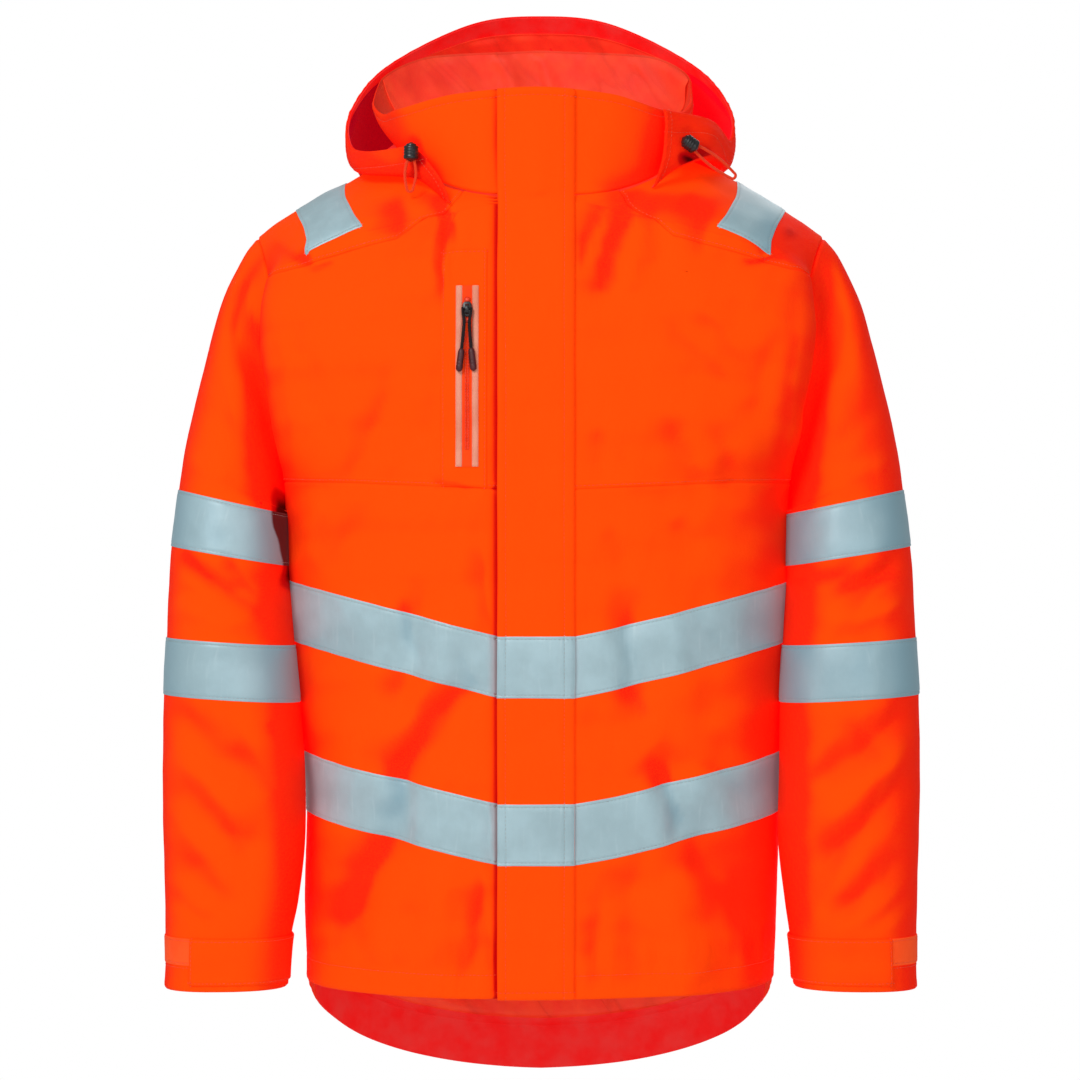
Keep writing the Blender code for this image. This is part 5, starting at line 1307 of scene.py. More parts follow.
def make_closure():
    """The storm flap with its bands, and the zip under it."""
    width = FLAP_SEAM_X - FLAP_FREE_X
    xs = FLAP_FREE_X + width * stops(width, "folded", "bound")
    v = 0.03 + 0.97 * stops(0.078, "plain", "folded")
    flap = 2 * CLOTH
    make_cloth("storm_flap", closure_grid(xs, collar_rows=v),
        {"bottom": "folded", "top": "folded", "start": "folded", "end": "bound"}, "shell", thickness=flap,
        lift=FLAP_LIFT + flap, group="front", seed=71, relief=flap_waves)
    for level in ("lower", "upper"):
        band = closure_grid(xs, (f"{level}_tape_end", f"{level}_tape_top"), (TAPED,))
        make_band(f"tape_flap_{level}", band, {"bottom": "taped", "top": "taped", "start": "folded", "end": "bound"},
            "front", 73, lift=FLAP_LIFT + flap + LAP, relief=flap_waves)
    zip_xs = np.linspace(ZIP_RIGHT_X + SEAM, ZIP_LEFT_X - SEAM, 5)
    make_inside("front_zip", closure_grid(zip_xs, kinds=(("plain", "plain"),) * 9, collar_rows=v), {}, "zip_black",
        75, lift=-COLLAR_LIFT - 0.0004, slot="zip_black")


def flap_waves(points, reach):
    z = points[..., 2]
    free = np.exp(-reach["start"] / 0.02)
    waves = 0.0005 * np.sin(z * 33 + 1.2) * np.sin(z * 12) + free * (0.0007 + 0.0006 * np.sin(z * 27 + 0.4))
    return waves * smooth_step(reach["end"], 0.0, 0.012) - 0.0013 * hump(reach["end"], 0.0, 0.0055)


# ---------------- finishes
class Nodes:
    """A node tree that is written to: add() makes any node, feed() fills its sockets."""

    def __init__(self, tree):
        self.tree = tree

    def add(self, kind, settings=None, **values):
        node = self.tree.nodes.new(kind)
        for name, value in (settings or {}).items():
            setattr(node, name, value)
        self.feed(node, **values)
        return node

    def feed(self, node, **values):
        """Values or links for sockets, by name with _ for a space, or by number as in _0."""
        for name, value in values.items():
            socket = node.inputs[int(name[1:]) if name[0] == "_" else name.replace("_", " ")]
            if isinstance(value, Value):
                value = value.socket
            if isinstance(value, bpy.types.NodeSocket):
                self.tree.links.new(value, socket)
            else:
                socket.default_value = value

    def mix(self, factor, first, second):
        """A colour between two, by a value."""
        return Value(self, self.add("ShaderNodeMix", {"data_type": "RGBA"}, _0=factor, _6=first, _7=second).outputs[2])

    def attribute(self, name):
        return Value(self, self.add("ShaderNodeAttribute", {"attribute_name": name}).outputs["Fac"])

    def noise(self, vector, scale, detail=2.0, roughness=0.5, distortion=0.0):
        return Value(self, self.add("ShaderNodeTexNoise", Vector=vector, Scale=scale, Detail=detail,
            Roughness=roughness, Distortion=distortion).outputs["Fac"])

    def parts(self, vector):
        """The three numbers of a vector."""
        return [Value(self, socket) for socket in self.add("ShaderNodeSeparateXYZ", Vector=vector).outputs]

    def place(self):
        """The object's own coordinates, in metres."""
        return self.add("ShaderNodeTexCoord").outputs["Object"]


class Value:
    """A number from a socket; sums and products add Math nodes."""

    def __init__(self, nodes, socket):
        self.nodes, self.socket = nodes, socket

    def math(self, operation, other=0.5, first=None):
        sides = (self, other) if first is None else (first, self)
        node = self.nodes.add("ShaderNodeMath", {"operation": operation}, _0=sides[0], _1=sides[1])
        return Value(self.nodes, node.outputs[0])

    def __add__(self, other):
        return self.math("ADD", other)

    __radd__ = __add__

    def __sub__(self, other):
        return self.math("SUBTRACT", other)

    def __rsub__(self, other):
        return self.math("SUBTRACT", first=other)

    def __mul__(self, other):
        return self.math("MULTIPLY", other)

    __rmul__ = __mul__

    def __pow__(self, other):
        return self.math("POWER", other)

    def sine(self):
        return self.math("SINE")

    def part(self, low, high):
        """0 below low, 1 above high, smooth between."""
        node = self.nodes.add("ShaderNodeMapRange", {"interpolation_type": "SMOOTHSTEP"}, Value=self,
            From_Min=low, From_Max=high)
        return Value(self.nodes, node.outputs["Result"])


class Finish(Nodes):
    """A new material; constants go on its shader's own sockets."""

    def __init__(self, name, **constants):
        self.made = bpy.data.materials.new(name)
        self.made.use_nodes = True
        super().__init__(self.made.node_tree)
        self.shader = self.tree.nodes["Principled BSDF"]
        self.feed(self.shader, **constants)

    def cover(self, height=None, strength=0.5, distance=0.0008, **values):
        """What changes over the surface: the shader's values, and a height for the bump."""
        if height is not None:
            values["Normal"] = self.add("ShaderNodeBump", Strength=strength, Distance=distance,
                Height=height).outputs[0]
        self.feed(self.shader, **values)
        return self.made

    def cloth(self):
        """The cloth's own coordinates, as a vector and across and along it, and the object's."""
        uv = self.add("ShaderNodeUVMap", {"uv_map": "cloth"}).outputs[0]
        across, along, _ = self.parts(uv)
        return uv, across, along, self.place()


def tint(colour, factor=1.0):
    """A colour with its alpha, made darker by a factor."""
    return (*(c * factor for c in tuple(colour)[:3]), 1.0)


BLACK = (0.0, 0.0, 0.0, 1.0)


def weave(across, along, pitch):
    """Plain weave: threads rise in turn, every pitch metres."""
    turn = 2 * math.pi / pitch
    return ((across * turn).sine() * (along * turn).sine()) * 0.5 + 0.5


def shell_finish(values):
    """Fluorescent woven polyester with painted light: redder where the cloth turns from the light, darker in creases,
    and a painted emission of its own.
    """
    made = Finish("shell", Roughness=0.7, Sheen_Weight=0.02, Sheen_Roughness=0.5, Sheen_Tint=(1.0, 0.20, 0.04, 1.0),
        Specular_IOR_Level=0.05, Specular_Tint=(1.0, 0.35, 0.12, 1.0), Emission_Strength=values.painted_glow)
    uv, across, along, place = made.cloth()
    mottle = made.noise(place, 34.0, 3.0, 0.55)
    # painted shade: front mixes the shade colour in by the painted light attribute
    front = (made.attribute("bloom") + (mottle - 0.5) * 0.16).part(-0.25, 1.02)
    threads = weave(across, along, values.weave)
    flecks = made.noise(uv, 900.0, 2.0)
    colour = made.mix(front, tint(values.shade), tint(values.cloth))
    colour = made.mix((threads * 0.5 + flecks * 0.5).part(0.15, 0.75), tint(values.cloth, 0.93), colour)
    worn = made.noise(place, 9.0, 4.0, 0.6).part(0.56, 0.80)
    colour = made.mix(worn * 0.10, colour, (1.0, 0.12, 0.012, 1.0))
    # painted emission, light the cloth gives under any lamp, pure red in the painted shade; it stands in for
    # fluorescence
    painted_emission = made.mix(front, (1.0, 0.0, 0.002, 1.0), (1.0, 0.060, 0.003, 1.0))
    crease = made.attribute("crease")
    # painted dark shade in creases, and a near-black painted shadow in the deepest
    for part, base, painted_glow in ((crease.part(0.0, 1.0), (0.46, 0.001, 0.004, 1.0), (0.45, 0.0, 0.0, 1.0)),
            (crease.part(1.0, 1.9), (0.05, 0.0, 0.003, 1.0), (0.03, 0.0, 0.0, 1.0))):
        colour, painted_emission = made.mix(part, colour, base), made.mix(part, painted_emission, painted_glow)
    crumple = made.noise(place, 105.0, 3.0, 0.5, 0.4) + made.noise(place, 300.0, 2.0) * 0.35
    return made.cover(threads * 0.10 + crumple, 0.55, Base_Color=colour, Emission_Color=painted_emission,
        Roughness=0.62 + 0.12 * mottle + 0.05 * flecks)


def plain_cloth_finish(name, colour, dark, roughness, pitch, grain, creased, turned, **constants):
    """Other cloths: weave, slanting creases painted darker as shade, a slow change between two colours, painted shade
    where turned from the light, and a painted emission.
    """
    made = Finish(name, Roughness=roughness, **constants)
    _, across, along, place = made.cloth()
    mottle = made.noise(place, 42.0, 3.0, 0.55)
    threads = weave(across, along, pitch)
    base = made.mix(mottle.part(0.30, 0.72), tint(dark), tint(colour))
    base = made.mix(threads * 0.12, base, tint(colour, 0.80))
    height = threads * 0.14 + made.noise(place, 130.0, 3.0) * grain
    if creased:
        turn = made.add("ShaderNodeMapping", {"vector_type": "TEXTURE"}, Vector=place,
            Rotation=(0.0, math.radians(-38), 0.0), Scale=(0.046, 0.3, 0.2))
        waves = made.noise(turn.outputs[0], 1.0, 3.0, 0.55, 0.6)
        ridge = (1.0 - ((waves - 0.5) * 9.0).math("ABSOLUTE")).math("MAXIMUM", 0.0) ** 1.5
        # painted shade along the wrinkle ridges
        base = made.mix(ridge * 0.35, base, tint(dark, 0.62))
        height = height - ridge * creased
    if turned:
        # painted shade where the cloth turns from the light, and a painted dark shadow
        base = made.mix(made.attribute("bloom"), tint(turned), base)
        base = made.mix(made.attribute("crease"), base, (0.40, 0.0, 0.014, 1.0))
    # Emission_Color is a painted emission, of the strength given in the cloth's row
    return made.cover(height, Base_Color=base, Emission_Color=base, Roughness=roughness + 0.10 * (mottle - 0.5))


def tape_finish(colour):
    """Glass-bead tape: fine sparkling grain, a faint textile back, rubbed streaks, painted shade where it turns from
    the light, a painted near-black shadow and a painted emission.
    """
    made = Finish("reflective_tape", Roughness=0.42, Metallic=0.12, Specular_IOR_Level=0.45, Sheen_Weight=0.1,
        Sheen_Roughness=0.35, Emission_Strength=0.16)
    uv, _, _, place = made.cloth()
    drawn_out = made.add("ShaderNodeVectorMath", {"operation": "MULTIPLY"}, _0=uv, _1=(1.0, 0.12, 1.0))
    streaks = made.noise(drawn_out.outputs[0], 240.0, 3.0)
    soft = made.noise(place, 26.0, 4.0, 0.6)
    grain = made.noise(uv, 2600.0, 2.0)
    # a painted shade copy of the tape colour
    shaded = [c * f for c, f in zip(colour, (0.58, 0.68, 0.74))]
    base = made.mix(soft.part(0.30, 0.72), tint(colour, 0.84), tint(colour))
    base = made.mix(streaks.part(0.55, 0.85) * 0.20, base, (0.66, 0.75, 0.76, 1.0))
    base = made.mix(made.attribute("bloom").part(-0.7, 0.95), tint(shaded), base)
    base = made.mix(grain.part(0.35, 0.75) * 0.22, base, tint(colour, 0.70))
    # painted near-black shadow, rougher there
    crease = made.attribute("crease").part(0.5, 1.2)
    # painted emission, bluish, none in the painted shadow
    painted_emission = made.mix(crease, made.mix(0.5, base, (0.16, 0.42, 0.50, 1.0)), BLACK)
    return made.cover(grain * 0.06 + streaks * 0.10 + made.noise(place, 120.0, 2.0) * 0.5, 0.45, 0.0007,
        Base_Color=made.mix(crease, base, (0.10, 0.001, 0.003, 1.0)), Emission_Color=painted_emission,
        Roughness=0.36 + 0.18 * soft + 0.06 * grain + crease * 0.35)


def plastic_finish(name, colour, roughness, **constants):
    """Moulded plastic or rubber with a fine eroded grain and rubbed edges."""
    made = Finish(name, Roughness=roughness, Coat_Roughness=0.3, **constants)
    place = made.place()
    grain, soft = made.noise(place, 900.0, 3.0), made.noise(place, 160.0, 2.0)
    rubbed = [min(1.0, c * 1.5 + 0.006) for c in colour]
    return made.cover(grain, 0.25, 0.0002, Base_Color=made.mix(soft.part(0.35, 0.75), tint(colour), tint(rubbed)),
        Roughness=roughness - 0.06 + 0.16 * soft)


def thread_finish(name, colour):
    """Twisted sewing thread."""
    made = Finish(name, Roughness=0.55, Sheen_Weight=0.3, Sheen_Roughness=0.4)
    place = made.place()
    fibre, soft = made.noise(place, 2400.0, 2.0), made.noise(place, 60.0, 2.0)
    base = made.mix(fibre.part(0.3, 0.75), tint(colour, 0.72), tint(colour))
    return made.cover(fibre, 0.3, 0.0002, Base_Color=made.mix(soft * 0.25, base, tint(colour, 0.85)))


def cord_finish(name, colour, dark):
    """Braided round elastic: two crossing helices of yarn, with a painted emission."""
    made = Finish(name, Roughness=0.6, Sheen_Weight=0.05, Specular_IOR_Level=0.2, Emission_Strength=0.10)
    place = made.place()
    x, _, z = made.parts(place)
    braid = weave(x + z, x - z, 0.0011)
    base = made.mix(braid.part(0.15, 0.8), tint(dark), tint(colour))
    # Emission_Color with the strength set above is a painted emission
    return made.cover(braid + made.noise(place, 1800.0, 2.0) * 0.3, 0.5, 0.0004, Base_Color=base,
        Emission_Color=base)


def floor_finish(colour):
    made = Finish("floor", Roughness=0.85)
    soft = made.noise(made.place(), 3.0, 3.0)
    return made.cover(Base_Color=made.mix(soft, tint(colour, 0.985), tint(colour)))


# Emission_Strength is a painted emission: light the cloth gives under any lamp
CLOTH_COLUMNS = ("colour", "dark", "roughness", "pitch", "grain", "Emission_Strength", "Specular_IOR_Level",
    "Sheen_Weight", "creased")
PLAIN_CLOTHS = {     # a colour by name is the user's
    "lining": ("lining", (0.80, 0.036, 0.018), 0.42, 0.0005, 0.8, 0.30, 0.15, 0.02, 1.2),
    "hood_lining": ("lining", (0.80, 0.036, 0.018), 0.42, 0.0005, 0.8, 0.30, 0.12, 0.02, 1.2),
    "collar_lining": ("lining", (0.82, 0.042, 0.018), 0.46, 0.0005, 0.7, 0.10, 0.15, 0.02, 1.2),
    "facing": ("facing", (0.80, 0.008, 0.008), 0.66, 0.0006, 0.6, 0.34, 0.12, 0.0, 0.0),
    "piping": ((0.80, 0.30, 0.20), (0.72, 0.22, 0.13), 0.35, 0.0004, 0.5, 0.05, 0.3, 0.3, 0.0),
    "zip_tape": ((0.95, 0.060, 0.004), (0.92, 0.044, 0.004), 0.75, 0.0008, 0.5, 0.16, 0.12, 0.0, 0.0),
    "zip_black": ((0.02, 0.02, 0.022), (0.010, 0.010, 0.011), 0.7, 0.0008, 0.4, 0.0, 0.3, 0.0, 0.0),
    "grip": ((0.98, 0.092, 0.014), (0.94, 0.070, 0.008), 0.80, 0.0010, 1.0, 0.24, 0.1, 0.03, 0.0),
}
# painted shade colour for the lining where it turns out at the hood's sides, away from the light
LINING_PAINTED_SHADE = {"hood_lining": (0.86, 0.001, 0.012)}     # where the lining turns out at the hood's sides
FINISHES = {}


def finish(name):
    """A finish of the jacket; all are made with the first."""
    if not FINISHES:
        colours = bpy.context.scene.jacket_colours
        FINISHES.update({"shell": shell_finish(colours), "tape": tape_finish(tuple(colours.tape))})
        for cloth, values in PLAIN_CLOTHS.items():
            row = dict(zip(CLOTH_COLUMNS, values))
            if isinstance(row["colour"], str):
                row["colour"] = getattr(colours, row["colour"])
            FINISHES[cloth] = plain_cloth_finish(cloth, turned=LINING_PAINTED_SHADE.get(cloth), **row)
        FINISHES.update({
            "black": plastic_finish("black_plastic", (0.006, 0.0055, 0.0065), 0.36, Coat_Weight=0.08),
            "rubber": plastic_finish("maroon_rubber", (0.050, 0.003, 0.006), 0.50),
            "pull_cord": cord_finish("pull_cord", (0.020, 0.010, 0.012), (0.004, 0.002, 0.003)),
            "elastic": cord_finish("elastic", (0.93, 0.065, 0.010), (0.62, 0.020, 0.006)),
            "thread": thread_finish("orange_thread", [c * 0.93 for c in colours.cloth]),
            "tape_thread": thread_finish("grey_thread", (0.46, 0.50, 0.51)),
            "teeth": plastic_finish("orange_teeth", (0.88, 0.044, 0.008), 0.42),
        })
    return FINISHES[name]


# ---------------- stitches and teeth
def repeat_tree(name, painted):
    """Rounded grains laid end to end along lines: stitches, zip teeth and cord twists."""
    tree = bpy.data.node_groups.new(name, "GeometryNodeTree")
    sockets = {}
    tree.interface.new_socket("Lines", in_out="INPUT", socket_type="NodeSocketGeometry")
    for label, value in (("Pitch", 0.0033), ("Length", 0.0026), ("Width", 0.00050), ("Height", 0.00042),
            ("Unevenness", 0.12)):
        socket = tree.interface.new_socket(label, in_out="INPUT", socket_type="NodeSocketFloat")
        socket.default_value = value
        sockets[label] = socket.identifier
    tree.interface.new_socket("Pieces", in_out="OUTPUT", socket_type="NodeSocketGeometry")
    nodes = Nodes(tree)
    into, out = nodes.add("NodeGroupInput").outputs, nodes.add("NodeGroupOutput")
    unevenness = Value(nodes, into["Unevenness"])

    def result(kind, settings=None, **values):
        return nodes.add(kind, settings, **values).outputs[0]

    curve = result("GeometryNodeMeshToCurve", Mesh=into["Lines"])
    steps = result("GeometryNodeResampleCurve", {"mode": "LENGTH"}, Curve=curve, Length=into["Pitch"])
    grain = result("GeometryNodeMeshIcoSphere", Radius=0.5, Subdivisions=1)
    size = result("ShaderNodeCombineXYZ", X=into["Length"], Y=into["Width"], Z=into["Height"])
    grain = result("GeometryNodeTransform", Geometry=grain, Scale=size)
    grain = result("GeometryNodeSetShadeSmooth", Geometry=grain)
    facing = result("GeometryNodeInputNamedAttribute", {"data_type": "FLOAT_VECTOR"}, Name="facing")
    turned = result("FunctionNodeAlignRotationToVector", {"axis": "Z"}, Vector=facing)
    turned = result("FunctionNodeAlignRotationToVector", {"axis": "X", "pivot_axis": "Z"}, Rotation=turned,
        Vector=result("GeometryNodeInputTangent"))
    uneven = nodes.add("FunctionNodeRandomValue", {"data_type": "FLOAT"}, _2=1.0 - unevenness,
        _3=1.0 + unevenness, Seed=7).outputs[1]
    placed = result("GeometryNodeInstanceOnPoints", Points=steps, Instance=grain, Rotation=turned, Scale=uneven)
    real = result("GeometryNodeRealizeInstances", Geometry=placed)
    nodes.feed(out, _0=result("GeometryNodeSetMaterial", Geometry=real, Material=painted))
    return tree, sockets


def repeated(name, lines, face, slot, **sizes):
    """A mesh of grains along lines, each given as its points and the way the cloth faces there."""
    mesh = bpy.data.meshes.new(name)
    points, facing = (np.concatenate(values) for values in zip(*lines))
    edges, first = [], 0
    for line, _ in lines:
        edges += [(first + i, first + i + 1) for i in range(len(line) - 1)]
        first += len(line)
    mesh.from_pydata(points.tolist(), edges, [])
    mesh.attributes.new("facing", "FLOAT_VECTOR", "POINT").data.foreach_set(
        "vector", facing.astype(np.float32).ravel())
    guide = shown(name + "_lines", mesh)
    tree, sockets = repeat_tree(name, finish(face))
    modifier = guide.modifiers.new("repeat", "NODES")
    modifier.node_group = tree
    for label, value in sizes.items():
        modifier[sockets[label.capitalize()]] = value
    result = bpy.data.meshes.new_from_object(guide.evaluated_get(bpy.context.evaluated_depsgraph_get()))
    guide.modifiers.remove(modifier)
    bpy.data.objects.remove(guide, do_unlink=True)
    if not result.polygons:
        raise RuntimeError(f"{name} came out empty")
    result.name = name
    declare(shown(name, result), slot)


def make_stitches(stitch):
    """Every stitch line, each stitch this long."""
    for start, store, face, slot, width, height in (
            ("", SEWN, "thread", "shell", 0.00055, 0.00045),
            ("tape_", TAPE_SEWN, "tape_thread", "reflective_tape", 0.00050, 0.00040)):
        for group, lines in store.items():
            repeated(f"{start}stitches_{group}", lines, face, slot, pitch=stitch + 0.0007, length=stitch,
                width=width, height=height)


def make_zip_teeth():
    """Coil teeth of the chest pocket's zip, and the garage block above them."""
    front, first = fronts()["right"], POCKET_COLUMNS[0]
    point = front.point(front.rows(("zip_end", "zip_top"), (("plain", "plain"),)), first + 2, first + 3)
    grid, near = point(3 * LAP + THIN + ZIP_TAPE + 0.0003), point(0.0)
    middle = (grid[:, 0] + grid[:, -1]) / 2
    facing = unit(middle - (near[:, 0] + near[:, -1]) / 2)
    across = unit(grid[:, -1] - grid[:, 0])
    keep = slice(3, -7)
    lines = [((middle + across * offset)[keep], facing[keep]) for offset in (0.0011, -0.0011)]
    repeated("pocket_teeth", lines, "teeth", "facing", pitch=0.00125, length=0.00105, width=0.0024, height=0.0011,
        unevenness=0.02)
    blocks = []
    for row in (-6, -3):
        centre = middle[row] + facing[row] * 0.0002
        blocks.append((np.array([centre - [0, 0, 0.0001], centre + [0, 0, 0.0001]]), facing[[row, row]]))
    repeated("pocket_garage", blocks, "teeth", "facing", pitch=0.01, length=0.0058, width=0.0066, height=0.0016,
        unevenness=0.0)


# ---------------- trimmings
SLIDER = {"x": -0.0610, "z": -0.1070, "width": 0.0084, "height": 0.0125, "base": 0.0022,
    "hole_height": 0.0026, "hole_length": 0.0046}
PULL_RADIUS, PULL_END_RADIUS = 0.0017, 0.0029
# How the pull's right leg hangs: across and down from the slider's hole.
PULL_LEG = ((-0.0034, -0.0003), (-0.0030, -0.0050), (-0.0019, -0.0110), (-0.0026, -0.0220), (-0.0039, -0.0340),
    (-0.0050, -0.0430), (-0.0061, -0.0520))
CORD_RADIUS = 0.00125
LOCK_RADIUS, LOCK_LENGTH = 0.0062, 0.0130
# Middle of each cord lock, the way its loop hangs, how far, and half its width.
LOCKS = {
    "right": ((-0.1085, -0.0974, 0.0270), (-0.03, 0.02, -1.0), 0.0240, 0.0026),
    "left": ((0.1245, -0.0800, 0.0357), (0.78, 0.28, -0.55), 0.0400, 0.0026),
}


def on_front(side, x, z, lift):
    """A point over the front panel at x and z, out from the cloth by lift."""
    column = 0.3
    for _ in range(12):
        t = row_at_height(side, np.array([column]), lambda _: z)
        column = float(column_at_x(side, abs(x), t)[0])
    return torso(side, column, t, lift)[0]


def tube(name, points, radii, face, sides=12, across=(0.0, -1.0, 0.0)):
    """A closed tube with rounded ends along points."""
    points, radii = np.asarray(points, float), np.asarray(radii, float)
    along = unit(np.gradient(points, axis=0))
    first = unit(np.cross(np.cross(along, np.array(across)), along))
    second = np.cross(along, first)
    turn = np.arange(sides) * 2 * np.pi / sides
    rings = (points[:, None] + radii[:, None, None] * (first[:, None] * np.cos(turn)[None, :, None]
        + second[:, None] * np.sin(turn)[None, :, None]))
    count = len(rings) * sides
    ends = points[[0, -1]] + along[[0, -1]] * radii[[0, -1], None] * np.array([[-0.5], [0.5]])
    faces = [(i * sides + j, i * sides + (j + 1) % sides, (i + 1) * sides + (j + 1) % sides, (i + 1) * sides + j)
        for i in range(len(rings) - 1) for j in range(sides)]
    faces += [(count, (j + 1) % sides, j) for j in range(sides)]
    last = count - sides
    faces += [(count + 1, last + j, last + (j + 1) % sides) for j in range(sides)]
    made = closed_mesh(name, np.concatenate([rings.reshape(-1, 3), ends]), faces)
    made.data.materials.append(finish(face))
    return made


def smooth_path(points, steps):
    """More points on the smooth curve through a few."""
    points = np.asarray(points, float)
    return through(points, np.linspace(0, len(points) - 1, steps), keep_shape=False)


def slider_frame():
    """Where the slider sits on the zip, the way out of the cloth, and across."""
    lift = 2 * TAPE + 3 * LAP
    foot, above = (on_front(SIDES["right"], SLIDER["x"], SLIDER["z"], lift + more) for more in (0.0, 0.01))
    out = unit(above - foot)
    return foot, out, unit(np.cross(out, np.array([0.0, 0.0, 1.0])))


def make_pull():
    """The pocket pull: a twisted cord through the slider, each end in a rubber grip."""
    foot, out, across = slider_frame()
    middle = foot + out * (SLIDER["base"] + SLIDER["hole_height"] / 2)
    leg = [on_front(SIDES["right"], middle[0] + x, middle[2] + z, 0.0066 - 0.0006 * part)
           for part, (x, z) in zip(np.linspace(0, 1, len(PULL_LEG)), PULL_LEG)]
    legs = {"right": np.array(leg)}
    legs["left"] = legs["right"] * np.array([-1.0, 1.0, 1.0]) + np.array([2 * middle[0], 0.0, 0.0])
    legs["left"][3:, 0] -= np.array([0.0003, 0.0006, 0.0008, 0.0008])
    legs["left"][3:, 2] += np.array([0.0, 0.0004, 0.0006, 0.0006])
    bend = sorted((middle + across * w for w in (-0.0028, 0.0028)), key=lambda p: p[0])
    path = np.concatenate([legs["right"][:0:-1], legs["right"][:1], bend, legs["left"]])
    fine = smooth_path(path, 120)
    twist = np.linspace(0, 1, 120) * 2 * np.pi * 26
    thick = PULL_RADIUS * np.interp(np.linalg.norm(fine - middle, axis=-1), (0.0035, 0.0100), (0.60, 1.0))
    along = unit(np.gradient(fine, axis=0))
    one = unit(np.cross(along, np.array([0.0, -1.0, 0.0])))
    two = np.cross(along, one)
    vertices, faces, kinds = [], [], []

    def join(made, kind):
        base = len(vertices)
        vertices.extend(tuple(v.co) for v in made.data.vertices)
        faces.extend([tuple(base + i for i in p.vertices) for p in made.data.polygons])
        kinds.extend([kind] * len(made.data.polygons))
        bpy.data.objects.remove(made, do_unlink=True)

    for phase in (0.0, 2 * np.pi / 3, 4 * np.pi / 3):
        swing = twist + phase
        offset = (one * np.cos(swing)[:, None] + two * np.sin(swing)[:, None]) * thick[:, None] * 0.48
        join(tube("strand", fine + offset, thick * 0.52, "pull_cord", sides=6), 0)
    part = np.linspace(0, 1, 26)
    for points in legs.values():
        radii = PULL_END_RADIUS * np.interp(part, (0, 0.05, 0.14, 0.80, 0.93, 1.0), (0.62, 0.80, 0.92, 1.0, 0.93, 0.60))
        radii = radii * (1 - 0.10 * (np.cos(part * 2 * np.pi * 7) > 0.75) * (part > 0.45) * (part < 0.9))
        join(tube("grip", smooth_path(points[4:], 26), radii, "rubber"), 1)
    pull = closed_mesh("pocket_pull_cords", vertices, faces, kinds)
    for face in ("pull_cord", "rubber"):
        pull.data.materials.append(finish(face))
    declare(pull, "zip_black", "zip_pull", "pocket_pull")


def make_slider():
    """The pocket slider: a lipped wedge body with a raised bridge."""
    foot, out, across = slider_frame()
    up = np.cross(across, out)
    bm = bmesh.new()

    def close(rings):
        for one, two in zip(rings, rings[1:]):
            for j in range(len(one)):
                k = (j + 1) % len(one)
                bm.faces.new((one[j], one[k], two[k], two[j]))

    # body: a rounded slab, wider at the top, with a rounded rim
    half_w, half_h, base = SLIDER["width"] / 2, SLIDER["height"] / 2, SLIDER["base"]
    outline = [(half_w * math.copysign(abs(math.cos(a)) ** 0.55, math.cos(a))
        * (0.80 + 0.20 * (0.5 + 0.5 * math.sin(a))),
        half_h * math.copysign(abs(math.sin(a)) ** 0.75, math.sin(a)))
        for a in np.linspace(0, 2 * math.pi, 28, endpoint=False)]
    rings = [[bm.verts.new(foot + across * a * scale + up * b * scale + out * height) for a, b in outline]
        for height, scale in ((-0.0006, 0.93), (-0.0006 + 0.0003, 1.0), (base - 0.0003, 1.0), (base, 0.86))]
    bm.faces.new(rings[0][::-1])
    bm.faces.new(rings[-1])
    close(rings)

    # bridge: a strip bent over the hole
    half, high = SLIDER["hole_length"] / 2, base + SLIDER["hole_height"]
    profile = [(-half - 0.0022, base - 0.0004), (-half - 0.0012, high - 0.0004), (-half + 0.0008, high + 0.0011),
        (half - 0.0008, high + 0.0011), (half + 0.0012, high - 0.0004), (half + 0.0022, base - 0.0004)]
    inner = [(-half - 0.0007, base - 0.0004), (-half - 0.0002, high - 0.0009), (-half + 0.0012, high),
        (half - 0.0012, high), (half + 0.0002, high - 0.0009), (half + 0.0007, base - 0.0004)]
    rings = []
    for w in (-0.0015, -0.0011, 0.0011, 0.0015):
        drop = 0.0003 if abs(w) > 0.0012 else 0.0
        rings.append([bm.verts.new(foot + across * w + up * a + out * (b - drop)) for a, b in profile]
            + [bm.verts.new(foot + across * w + up * a + out * b) for a, b in reversed(inner)])
    close(rings)
    count = len(rings[0])
    for ring in (rings[0], rings[-1]):
        for j in range(5):
            bm.faces.new((ring[j], ring[j + 1], ring[count - 2 - j], ring[count - 1 - j]))
    bmesh.ops.recalc_face_normals(bm, faces=bm.faces)
    mesh = bpy.data.meshes.new("pocket_slider")
    bm.to_mesh(mesh)
    bm.free()
    mesh.shade_smooth()
    mesh.set_sharp_from_angle(angle=math.radians(45))
    mesh.materials.append(finish("black"))
    declare(shown("pocket_slider", mesh), "zip_black", "zip_slider")


def lock_frame(name):
    middle, way, reach, gap = LOCKS[name]
    middle, way = np.array(middle), unit(np.array(way))
    return middle, way, unit(np.cross(way, np.array([0.0, -1.0, 0.0]))), reach, gap


